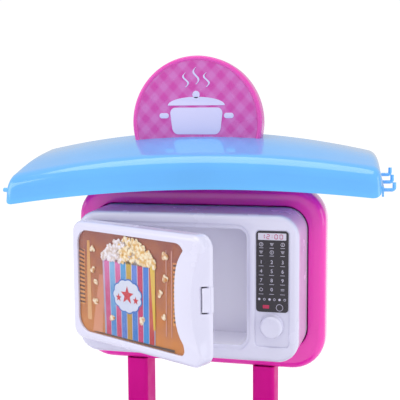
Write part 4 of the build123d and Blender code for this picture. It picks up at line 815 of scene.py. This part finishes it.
def window_edge(grow, scale=1.0):
    """The window's outline, waisted on its right side; scale draws it in to its centre."""
    width, height = WINDOW_RIGHT - WINDOW_LEFT, WINDOW_HIGH - WINDOW_LOW
    middle_u, middle_z = (WINDOW_LEFT + WINDOW_RIGHT) / 2, (WINDOW_LOW + WINDOW_HIGH) / 2
    radii = [max(radius + grow, 1.0) for radius in WINDOW_RADII]
    outline = round_rect(width + 2 * grow, height + 2 * grow, radii, DOOR_ARC, DOOR_STRAIGHT)
    points = []
    for x, z in outline:
        u, z = x + middle_u, z + middle_z
        off = z - WAIST_Z
        u = min(u, WAIST_U + grow + WAIST_BEND * off ** 2 + WAIST_FLARE * off ** 4)
        points.append((middle_u + (u - middle_u) * scale, middle_z + (z - middle_z) * scale))
    return points


def door_loop(outline, y):
    return [door_point(u, y, z) for u, z in outline]


def catch_grooves():
    """Tools for the slit around the catch: two grooves to the back edge and one across them."""
    low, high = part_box("door_catch")
    bottom, top = low.z / MM, high.z / MM
    grooves = []
    for name, u, width, z, height in (
        ("low", CATCH_U + CATCH_REACH / 2, CATCH_REACH, bottom, CATCH_GROOVE),
        ("high", CATCH_U + CATCH_REACH / 2, CATCH_REACH, top, CATCH_GROOVE),
        ("across", CATCH_U, CATCH_GROOVE, (bottom + top) / 2, top - bottom + CATCH_GROOVE),
    ):
        outline = [(u + x, z + dz) for x, dz in round_rect(width, height, CATCH_GROOVE * 0.45, 4)]
        loops = [door_loop(outline, DOOR_FRONT - 4), door_loop(outline, DOOR_BACK - 3)]
        grooves.append(loft("groove_" + name, loops, cap_first=True, cap_last=True))
    return grooves


def door_frame(material):
    """Hollow white front with a window, soft edges and a finger scoop on the free edge."""
    loops = [door_loop(door_edge(0.0, depth), DOOR_FRONT + depth) for depth in (18.6, 15.0, 11.5, 9.0)]
    for depth, inset in quarter(DOOR_ROUND, 8):
        loops.append(door_loop(door_edge(inset, depth), DOOR_FRONT + depth))
    for depth, grow in ((0.0, 2.2), (0.15, 1.1), (0.6, 0.3), (1.2, 0.0), (3.2, 0.0)):
        loops.append(door_loop(window_edge(grow), DOOR_FRONT + depth))
    shell = loft("door_shell", loops, angle=38)
    solidify(shell, DOOR_WALL * MM)
    cut(shell, catch_grooves())
    place(hang(shell), "microwave_door", "white_plastic", material, "door_frame")


def door_lens(material):
    """Clear domed window: front and back skins closed by a rim."""
    loops = []
    rings = [step / LENS_RINGS for step in range(LENS_RINGS, 0, -1)]
    for back, scales in ((LENS_THICK, rings[::-1]), (0.0, rings)):
        for scale in scales:
            y = LENS_EDGE_Y + back - LENS_DOME * (1 - scale ** 2.6)
            loops.append(door_loop(window_edge(-0.25, scale), y))
    lens = loft("window_lens", loops, cap_first=True, cap_last=True)
    place(hang(lens), "microwave_door", "clear_plastic", material, "door_window")


def clear(name):
    """Clear glossy plastic: see-through, with a sheen that grows towards grazing angles."""
    nodes = Nodes(name)
    nodes.shader.inputs["Base Color"].default_value = srgb(250, 250, 255)
    nodes.shader.inputs["Metallic"].default_value = 1.0
    smears = nodes.remap(nodes.noise(14.0, 4.0), 0.35, 0.7, 0.04, 0.12)
    nodes.link(smears, nodes.shader.inputs["Roughness"])
    nodes.link(nodes.bump(nodes.noise(16.0, 1.0), 0.0004, 0.4), nodes.shader.inputs["Normal"])
    through = nodes.add("ShaderNodeBsdfTransparent")
    facing = nodes.add("ShaderNodeLayerWeight")
    facing.inputs["Blend"].default_value = 0.5
    blend = nodes.add("ShaderNodeMixShader")
    grazing = nodes.math("POWER", facing.outputs["Facing"], CLEAR_FALLOFF)
    sheen = nodes.remap(grazing, 0.0, 1.0, CLEAR_FACE_ON, 0.9)
    haze = nodes.remap(nodes.noise(30.0, 3.0), 0.4, 0.7, 0.0, 0.01)
    nodes.link(nodes.math("ADD", sheen, haze), blend.inputs[0])
    nodes.link(through.outputs[0], blend.inputs[1])
    nodes.link(nodes.shader.outputs[0], blend.inputs[2])
    nodes.link(blend.outputs[0], nodes.output.inputs["Surface"])
    return nodes.material


# ---- the door's printed picture -----------------------------------------------------------------
# A generic popcorn bucket in a warm oven scene, as thin layers of ink in low relief.
PRINT_Y = 0.6
PRINT_STEP = 0.22
PRINT_MARGIN = 4.0
BOARD_THICK = 0.8
INK_ROUGH = 0.35
VENT_SLATS, VENT_PITCH, VENT_SLAT = 14, 5.1, 2.3
VENT_LOW, VENT_TILT = 686.0, 0.045
RAILS = (170.6, 179.2)
HEAP_KERNELS, HEAP_TRIES = 210, 4000
HEAP_LEFT, HEAP_RIGHT, HEAP_SPREAD = 62.0, 153.0, 46.5
HEAP_FOOT, HEAP_HEIGHT, HEAP_POWER = 751.0, 27.5, 2.4
HEAP_TURN, HEAP_BLEND = 103, 14
KERNEL_COLUMNS, KERNEL_ROWS = (46.0, 165.0), 4
KERNEL_HIGH, KERNEL_PITCH, KERNEL_SCATTER = 758.0, 22.0, 5.0
FRONT_KERNELS, FRONT_KERNEL_Z = (80.0, 127.0), 677.0
KERNEL_SIZES = (4.2, 5.8)
BADGE = (105.6, 706.4)
STARS = ((105.6, 707.5, 11.5), (90.5, 703.0, 5.2), (120.5, 703.0, 5.2))


def ink(name, low_colour, high_colour, grain=0.1, depth=0.85):
    """Printed colour that runs from a low tone to a high tone up the picture."""
    nodes = Nodes(name)
    height = nodes.remap(nodes.axes()[2], WINDOW_LOW * MM, WINDOW_HIGH * MM, 0.0, 1.0)
    blotch = nodes.remap(nodes.noise(60.0, 4.0), 0.3, 0.7, -0.18, 0.18)
    low_colour, high_colour = shade(low_colour, depth), shade(high_colour, depth)
    tone = nodes.mix(nodes.math("ADD", height, blotch), low_colour, high_colour)
    speck = nodes.remap(nodes.noise(800.0, 2.0), 0.35, 0.7, 0.0, grain)
    tone = nodes.mix(speck, tone, shade(low_colour, 0.6))
    haze = nodes.remap(nodes.noise(50.0), 0.3, 0.7, INK_ROUGH * 0.8, INK_ROUGH * 1.25)
    nodes.dress(tone, haze, nodes.bump(nodes.noise(900.0, 2.0), 0.00003, 0.5))
    return nodes.material


def print_slab(name, outline, level, thickness=PRINT_STEP):
    """A flat patch of the picture; level counts the layers under it."""
    front = PRINT_Y - level * PRINT_STEP
    loops = [door_loop(outline, front + thickness), door_loop(outline, front)]
    return loft(name, loops, cap_first=True, cap_last=True)


def band(x_top, width_top, x_low, width_low, z_top, z_low, rows=8):
    """Straight-sided strip; x_* are its left side."""
    def side(top, low):
        return [(top + (low - top) * t / rows, z_top + (z_low - z_top) * t / rows) for t in range(rows + 1)]

    return side(x_top, x_low) + side(x_top + width_top, x_low + width_low)[::-1]


def blob(rng, name, u, z, y, size, flat=0.35, lobes=4):
    """One popped kernel: a few overlapping flattened lumps."""
    bm = bmesh.new()
    for lobe in range(lobes):
        turn = rng.uniform(0, 2 * math.pi)
        reach = size * (0.0 if lobe == 0 else rng.uniform(0.3, 0.6))
        lump = size * rng.uniform(0.42, 0.68)
        spot = Matrix.Translation(door_point(u + reach * math.cos(turn), y, z + reach * math.sin(turn)))
        scale = Matrix.Diagonal((lump * MM, lump * flat * MM, lump * MM, 1))
        bmesh.ops.create_icosphere(bm, subdivisions=2, radius=1.0, matrix=spot @ scale)
    for vert in bm.verts:
        vert.co.x += rng.uniform(-0.03, 0.03) * size * MM
        vert.co.z += rng.uniform(-0.03, 0.03) * size * MM
    mesh = bpy.data.meshes.new(name)
    bm.to_mesh(mesh)
    bm.free()
    smooth(mesh, 60)
    return add_object(name, mesh)


def popcorn(name, cream, painted_shadow):
    """Popped corn: cream lumps with patches of painted shade in a darker yellow, placed by noise."""
    nodes = Nodes(name)
    spots = nodes.remap(nodes.noise(230.0, 3.0), 0.42, 0.62, 0.0, 1.0)
    # Painted shade: noise spots mix the cream towards the darker shade colour.
    tone = nodes.mix(spots, cream, painted_shadow)
    haze = nodes.remap(nodes.noise(300.0), 0.3, 0.7, 0.45, 0.65)
    nodes.dress(tone, haze, nodes.bump(nodes.noise(500.0, 4.0), 0.0006, 0.7))
    return nodes.material


# Upper and lower colour of each stripe, from the bucket's left edge; the first is a narrow pale edge.
STRIPE_COLOURS = (
    ((226, 190, 226), (150, 160, 196)), ((232, 130, 196), (196, 10, 86)), ((150, 206, 244), (52, 130, 206)),
    ((236, 130, 200), (206, 40, 96)), ((90, 190, 236), (72, 110, 206)), ((214, 180, 60), (190, 140, 26)),
    ((110, 140, 232), (6, 116, 206)), ((206, 50, 90), (206, 20, 110)), ((84, 120, 226), (6, 140, 216)),
    ((226, 130, 90), (190, 26, 40)),
)
BUCKET_LEFT_TOP, BUCKET_WIDTH_TOP = 61.0, 92.0
BUCKET_LEFT_LOW, BUCKET_WIDTH_LOW = 64.0, 88.0
STRIPE_EDGE = 0.035
STRIPE_PITCH = (1 - STRIPE_EDGE) / (len(STRIPE_COLOURS) - 1)
STRIPE_COVER = 0.87
BUCKET_TOP, BUCKET_LOW = 750.0, 653.2
PRINT_SHIFT_U, PRINT_SHIFT_Z = -4.3, -1.2


def shifted(outline):
    """Allows for the picture lying a little behind the window's front."""
    return [(u + PRINT_SHIFT_U, z + PRINT_SHIFT_Z) for u, z in outline]


def cloud_outline(u, z, half_width, half_height, bumps=11, swell=0.09, steps=110):
    points = []
    for step in range(steps):
        turn = 2 * math.pi * step / steps
        reach = 1 + swell * abs(math.sin(bumps * turn / 2))
        points.append((u + half_width * reach * math.cos(turn), z + half_height * reach * math.sin(turn)))
    return points


def star_outline(u, z, radius, inner=0.42, tips=5):
    points = []
    for step in range(2 * tips):
        turn = math.pi * (0.5 + step / tips)
        reach = radius if step % 2 == 0 else radius * inner
        points.append((u + reach * math.cos(turn), z + reach * math.sin(turn)))
    return points


def picture_part(name, pieces, material, *replaced):
    obj = joined(name, pieces, 40)
    place(hang(obj), "microwave_door", "printed_label", material, *replaced)


def patch(name, level, outlines, low, high, grain=0.1):
    """Prints the outlines as one piece in one ink, with this many layers under it."""
    slabs = [print_slab("patch", shifted(outline), level) for outline in outlines]
    picture_part("picture_" + name, slabs, ink("print_" + name, srgb(*low), srgb(*high), grain))


def picture_room():
    """The warm background: board, slatted vents, light bars, two rails and a painted shadow strip along its lower
    edge.
    """
    board = print_slab("board", window_edge(PRINT_MARGIN), 0, BOARD_THICK)
    finish = ink("print_room", srgb(214, 128, 36), srgb(158, 84, 72), 0.15)
    picture_part("picture_board", [board], finish, "door_picture")
    slats = []
    for index in range(VENT_SLATS):
        z = VENT_LOW + index * VENT_PITCH
        top = z + VENT_SLAT
        tilt = (z - VENT_LOW) * VENT_TILT
        slats.append([(13.0, z + tilt), (26.0, z), (26.0, top), (13.0, top + tilt)])
        slats.append([(182.5, z), (191.0, z + 1.0), (191.0, top + 1.0), (182.5, top)])
    patch("slats", 2, slats, (110, 56, 20), (96, 44, 36))
    # Painted shadow: a dark strip along the picture's lower edge, where the frame shades the print.
    painted_shadow = [(44.0, 651.8), (184.0, 651.2), (184.0, 654.0), (44.0, 652.6)]
    patch("painted_shadow", 4, [painted_shadow], (84, 52, 34), (84, 52, 34))
    vents = [band(12.0, 15.0, 12.0, 14.0, 756, 684), band(181.5, 10.0, 181.5, 3.5, 757, 683)]
    patch("vents", 1, vents, (236, 164, 70), (222, 140, 90))
    patch("bar", 1, [band(31.5, 5.0, 30.5, 8.0, 768, 666)], (232, 176, 120), (222, 160, 84))
    patch("glow", 1, [band(54.0, 12.0, 40.0, 18.0, 727, 652)], (226, 150, 110), (206, 120, 100))
    rails = [band(u, 1.3, u - 0.6, 1.3, 770, 668) for u in RAILS]
    patch("rails", 2, rails, (214, 150, 130), (224, 170, 166))


def stripe_outline(index):
    """Stripes of one pitch across the bucket, narrowing with it, after the narrow edge."""
    start = STRIPE_EDGE + (index - 1) * STRIPE_PITCH if index else 0.0
    cover = STRIPE_PITCH * STRIPE_COVER if index else STRIPE_EDGE * STRIPE_COVER
    return band(
        BUCKET_LEFT_TOP + start * BUCKET_WIDTH_TOP, cover * BUCKET_WIDTH_TOP,
        BUCKET_LEFT_LOW + start * BUCKET_WIDTH_LOW, cover * BUCKET_WIDTH_LOW, BUCKET_TOP, BUCKET_LOW,
    )


def picture_bucket():
    """Striped bucket with a white border between its stripes and a cloud-shaped badge."""
    bucket = band(
        BUCKET_LEFT_TOP, BUCKET_WIDTH_TOP, BUCKET_LEFT_LOW, BUCKET_WIDTH_LOW, BUCKET_TOP, BUCKET_LOW
    )
    patch("bucket", 2, [bucket], (176, 196, 230), (236, 232, 240))
    for index, (high, low) in enumerate(STRIPE_COLOURS):
        patch("stripe_%d" % index, 3, [stripe_outline(index)], low, high)
    side = band(145.0, 8.0, 150.0, 3.0, BUCKET_TOP - 1, 672)
    patch("bucket_side", 4, [side], (226, 190, 30), (238, 196, 96))
    patch("badge_rim", 5, [cloud_outline(*BADGE, 24.3, 20.0)], (60, 120, 206), (60, 120, 206))
    patch("badge", 6, [cloud_outline(*BADGE, 22.6, 18.4)], (214, 222, 248), (236, 240, 252))
    patch("stars", 7, [star_outline(*star) for star in STARS], (214, 44, 60), (214, 44, 60))


def picture_corn():
    """A heap over the bucket's rim and loose kernels around it."""
    rng = random.Random(SEED)
    white, butter = [], []
    tries = 0
    while len(white) + len(butter) < HEAP_KERNELS and tries < HEAP_TRIES:
        tries += 1
        u = rng.uniform(HEAP_LEFT, HEAP_RIGHT)
        share = (u - (HEAP_LEFT + HEAP_RIGHT) / 2) / HEAP_SPREAD
        top = HEAP_FOOT + HEAP_HEIGHT * (1 - abs(share) ** HEAP_POWER)
        z = rng.uniform(HEAP_FOOT - 2.5, top)
        heap = white if u < HEAP_TURN + rng.uniform(-HEAP_BLEND, HEAP_BLEND) else butter
        depth = PRINT_Y - 4 * PRINT_STEP - rng.uniform(0, 0.6)
        heap.append(blob(rng, "kernel", *shifted([(u, z)])[0], depth, rng.uniform(3.0, 4.4)))
    steps = 24
    rim = []
    for step in range(steps + 1):
        rise = max(0.0, 1 - abs(2 * step / steps - 1) ** HEAP_POWER)
        rim.append((62.5 + 90.0 * step / steps, 750.0 + 25.0 * rise))
    backing = rim + [(152.5, 746.0), (62.5, 746.0)]
    patch("heap_back", 3, [backing], (222, 196, 160), (226, 206, 190), 0.5)
    picture_part("picture_heap_left", white, popcorn("corn_white", srgb(238, 232, 240), srgb(206, 186, 176)))
    butter_finish = popcorn("corn_butter", srgb(244, 230, 200), srgb(218, 170, 92))
    picture_part("picture_heap_right", butter, butter_finish)
    spots = [(u, FRONT_KERNEL_Z) for u in FRONT_KERNELS]
    spots += [(u, KERNEL_HIGH - row * KERNEL_PITCH) for u in KERNEL_COLUMNS for row in range(KERNEL_ROWS)]
    loose = []
    for u, z in spots:
        u += rng.uniform(-KERNEL_SCATTER, KERNEL_SCATTER)
        z += rng.uniform(-KERNEL_SCATTER, KERNEL_SCATTER)
        size = rng.uniform(*KERNEL_SIZES)
        depth = PRINT_Y - 4 * PRINT_STEP
        loose.append(blob(rng, "loose", *shifted([(u, z)])[0], depth, size, lobes=5))
    picture_part("picture_kernels", loose, popcorn("corn_loose", srgb(242, 226, 200), srgb(196, 132, 60)))


# ---- control label ------------------------------------------------------------------------------
# Positions are shares of the label's width from its left side and of its height from its top.
KEY_COLUMNS = (0.157, 0.485, 0.82)
KEY_ROWS = (0.383, 0.496, 0.609)
LABEL_RAISE = 0.12
SEVEN_SEGMENTS = {"0": "abcdef", "1": "bc", "2": "abged"}
SEGMENTS = {
    "a": (0.0, 1.0, True), "b": (0.5, 0.5, False), "c": (0.5, -0.5, False), "d": (0.0, -1.0, True),
    "e": (-0.5, -0.5, False), "f": (-0.5, 0.5, False), "g": (0.0, 0.0, True),
}


def label_slab(name, outline, raise_by=LABEL_RAISE):
    """A printed patch on the label; outline is in millimetres in the model's frame."""
    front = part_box("control_label")[0].y
    loops = [[(x * MM, y, z * MM) for x, z in outline] for y in (front + 0.0001, front - raise_by * MM)]
    return loft(name, loops, cap_first=True, cap_last=True)


def label_spot(across, down):
    low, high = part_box("control_label")
    x = low.x + (high.x - low.x) * across
    z = high.z - (high.z - low.z) * down
    return x / MM, z / MM


def bar(across, down, width, height, radius=0.2, raise_by=LABEL_RAISE):
    x, z = label_spot(across, down)
    return label_slab("bar", [(x + px, z + pz) for px, pz in round_rect(width, height, radius, 3)], raise_by)


def ring(across, down, radius, width, steps=32):
    x, z = label_spot(across, down)
    outer = []
    for step in range(steps):
        turn = 2 * math.pi * step / steps
        outer.append((x + radius * math.cos(turn), z + radius * math.sin(turn)))
    if width >= radius:
        return label_slab("dot", outer)
    inner = [(x + (px - x) * (1 - width / radius), z + (pz - z) * (1 - width / radius)) for px, pz in outer]
    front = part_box("control_label")[0].y
    back, face = front + 0.0001, front - LABEL_RAISE * MM
    loops = [[(px * MM, y, pz * MM) for px, pz in loop] for loop, y in
             ((outer, back), (outer, face), (inner, face), (inner, back), (outer, back))]
    return loft("ring", loops)


def digit(text, x, z, height, width, stroke):
    """A seven-segment figure centred on (x, z)."""
    pieces = []
    for segment in SEVEN_SEGMENTS[text]:
        across, up, flat = SEGMENTS[segment]
        size = (width * 0.78, stroke) if flat else (stroke, height * 0.42)
        middle_x, middle_z = x + across * width, z + up * height / 2
        outline = [(middle_x + px, middle_z + pz) for px, pz in round_rect(*size, stroke * 0.4, 2)]
        pieces.append(label_slab("segment", outline, 2 * LABEL_RAISE))
    return pieces


def key_figure(text, across, down, size):
    """A digit in the built-in font, as a thin raised mesh."""
    curve = bpy.data.curves.new("figure", "FONT")
    curve.body = text
    curve.size = size * MM
    curve.align_x = "CENTER"
    curve.align_y = "CENTER"
    curve.extrude = LABEL_RAISE * MM / 2
    curve.resolution_u = 3
    text_obj = add_object("figure_text", curve)
    bpy.context.view_layer.update()
    mesh = bpy.data.meshes.new_from_object(text_obj.evaluated_get(bpy.context.evaluated_depsgraph_get()))
    bpy.data.objects.remove(text_obj)
    x, z = label_spot(across, down)
    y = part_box("control_label")[0].y
    upright = Matrix.Rotation(math.pi / 2, 4, "X")
    mesh.transform(Matrix.Translation((x * MM, y - LABEL_RAISE * MM / 2, z * MM)) @ upright)
    return add_object("figure", mesh)


def control_art(pale, magenta, dark):
    """Clock strip, icons, keypad and indicator marks on the black label."""
    strip = bar(0.494, 0.069, 35.0, 8.6, 0.8)
    place(strip, ROOT, "printed_label", pale)
    strip.name = "label_display"
    clock_z = label_spot(0.5, 0.069)[1]
    middle = label_spot(0.494, 0.069)[0]
    figures = []
    for text, shift in (("1", -11.4), ("2", -5.0), ("0", 5.0), ("0", 11.4)):
        figures += digit(text, middle + shift, clock_z, 5.2, 3.4, 0.8)
    for up in (-1.1, 1.1):
        outline = [(middle + px, clock_z + up + pz) for px, pz in round_rect(0.8, 0.8, 0.3, 2)]
        figures.append(label_slab("colon", outline, 2 * LABEL_RAISE))
    place(joined("label_clock", figures), ROOT, "printed_label", dark)
    marks = []
    for row, down in enumerate((0.173, 0.27)):
        for column, across in enumerate(KEY_COLUMNS):
            if (row + column) % 2 == 0:
                marks.append(ring(across, down - 0.008, 2.5, 0.5))
                marks.append(bar(across, down - 0.008, 0.5, 3.0))
            else:
                marks += [bar(across, down - 0.022 + 0.012 * k, 4.6 - k, 0.5) for k in range(3)]
            marks.append(bar(across, down + 0.036, 5.6, 0.5))
    for row, down in enumerate(KEY_ROWS):
        for column, across in enumerate(KEY_COLUMNS):
            marks.append(key_figure(str(row * 3 + column + 1), across, down, 6.4))
            marks.append(bar(across, down + 0.048, 6.0, 0.45))
    marks.append(ring(KEY_COLUMNS[0], 0.722, 2.2, 0.5))
    marks.append(key_figure("0", KEY_COLUMNS[1], 0.722, 6.4))
    marks += [bar(KEY_COLUMNS[2], 0.712 + 0.016 * k, 4.4, 0.5) for k in range(2)]
    marks += [bar(across, 0.778, 6.0, 0.45) for across in KEY_COLUMNS]
    for index, across in enumerate((0.10, 0.26, 0.42, 0.57, 0.73, 0.89)):
        marks.append(ring(across, 0.842, 1.5, 0.5 if index % 2 else 2.0))
    marks.append(ring(0.73, 0.94, 4.4, 0.5))
    place(joined("label_marks", marks), ROOT, "printed_label", pale)
    lamp = bar(0.31, 0.935, 8.0, 4.4, 0.6)
    lamp.name = "label_lamp"
    place(lamp, ROOT, "printed_label", magenta)


# ---- stage, lights and camera -----------------------------------------------------------------
FLOOR_REACH, FLOOR_GLOW = 30, 0.12
WORLD_LIGHT, WORLD_SEEN = 0.7, 1.05
SUN_STRENGTH, SUN_SPREAD, SUN_TURN = 1.15, 50, (12, -10, 0)
SOFTBOX_AIM = (0.0, 0.0, 0.75)
CAMERA_PLACE, CAMERA_LENS = (0.2663, -0.9673, 0.9299), 73.6
CAMERA_DOWN, CAMERA_TURN, CAMERA_ROLL = 6.29, 13.96, -0.36


def stage():
    nodes = Nodes("floor")
    tone = nodes.mix(nodes.noise(1.5), srgb(244, 244, 247), srgb(250, 250, 252))
    nodes.link(tone, nodes.shader.inputs["Base Color"])
    nodes.shader.inputs["Roughness"].default_value = 0.9
    nodes.shader.inputs["Emission Color"].default_value = (1.0, 1.0, 1.0, 1.0)
    nodes.shader.inputs["Emission Strength"].default_value = FLOOR_GLOW
    corners = [(x * FLOOR_REACH, y * FLOOR_REACH, 0) for x, y in ((-1, -1), (1, -1), (1, 1), (-1, 1))]
    floor = mesh_object("floor", corners, [(0, 1, 2, 3)])
    floor.data.materials.append(nodes.material)


def softbox(name, location, size, energy, colour=(1, 1, 1)):
    light = bpy.data.lights.new(name, "AREA")
    light.shape = "RECTANGLE"
    light.size, light.size_y = size
    light.energy = energy
    light.color = colour
    obj = bpy.data.objects.new(name, light)
    bpy.context.scene.collection.objects.link(obj)
    obj.location = location
    obj.rotation_mode = "QUATERNION"
    obj.rotation_quaternion = (Vector(SOFTBOX_AIM) - Vector(location)).to_track_quat("-Z", "Y")


def lights():
    world = bpy.data.worlds.new("studio")
    bpy.context.scene.world = world
    world.use_nodes = True
    sky = world.node_tree.nodes["Background"]
    path = world.node_tree.nodes.new("ShaderNodeLightPath")
    strength = world.node_tree.nodes.new("ShaderNodeMapRange")
    strength.inputs[3].default_value = WORLD_LIGHT
    strength.inputs[4].default_value = WORLD_SEEN
    world.node_tree.links.new(path.outputs["Is Camera Ray"], strength.inputs[0])
    world.node_tree.links.new(strength.outputs[0], sky.inputs["Strength"])
    sky.inputs["Color"].default_value = (0.97, 0.98, 1.0, 1.0)
    softbox("key", (-2.1, -1.2, 1.7), (1.4, 1.4), 11)
    softbox("fill", (2.1, -0.5, 1.3), (1.2, 1.6), 9, (0.95, 0.97, 1.0))
    sun = bpy.data.lights.new("overhead", "SUN")
    sun.energy = SUN_STRENGTH
    sun.angle = math.radians(SUN_SPREAD)
    obj = bpy.data.objects.new("overhead", sun)
    bpy.context.scene.collection.objects.link(obj)
    obj.rotation_euler = [math.radians(turn) for turn in SUN_TURN]


def camera():
    """Looks at the upper unit from the right and a little above."""
    data = bpy.data.cameras.new("camera")
    data.sensor_width = 36.0
    data.lens = CAMERA_LENS
    obj = bpy.data.objects.new("camera", data)
    bpy.context.scene.collection.objects.link(obj)
    obj.location = CAMERA_PLACE
    tilt = Matrix.Rotation(math.radians(90 - CAMERA_DOWN), 4, "X")
    turn = Matrix.Rotation(math.radians(CAMERA_TURN), 4, "Z")
    roll = Matrix.Rotation(math.radians(CAMERA_ROLL), 4, "Z")
    obj.rotation_euler = (turn @ tilt @ roll).to_euler()
    bpy.context.scene.camera = obj


bpy.context.scene.view_settings.view_transform = "Standard"
finishes = make_materials()
finishes["clear_plastic"] = clear("clear_window")
dress_cad_nodes(finishes)
canopy(finishes["blue_plastic"])
side_peg(finishes["blue_plastic"])
dial_white = srgb(240, 240, 250)
knob_marks(finishes["magenta_plastic"], ink("print_dial", dial_white, dial_white, depth=1.0))
sign(
    plastic("sign_pink", SIGN_PINK, rough=0.25, coat=0.3),
    gingham("gingham_print"),
    plastic("emblem_lavender", EMBLEM, rough=0.5, coat=0.0, variation=0.02),
)
back_panel(finishes["pink_plastic"])
housing(finishes["white_plastic"])
timer(finishes["white_plastic"])
door_frame(finishes["white_plastic"])
door_lens(finishes["clear_plastic"])
picture_room()
picture_bucket()
picture_corn()
control_art(
    ink("print_pale", srgb(214, 206, 232), srgb(226, 222, 240)),
    ink("print_lamp", srgb(206, 40, 90), srgb(206, 40, 90)),
    ink("print_figures", srgb(196, 20, 110), srgb(196, 20, 110)),
)
stage()
lights()
camera()
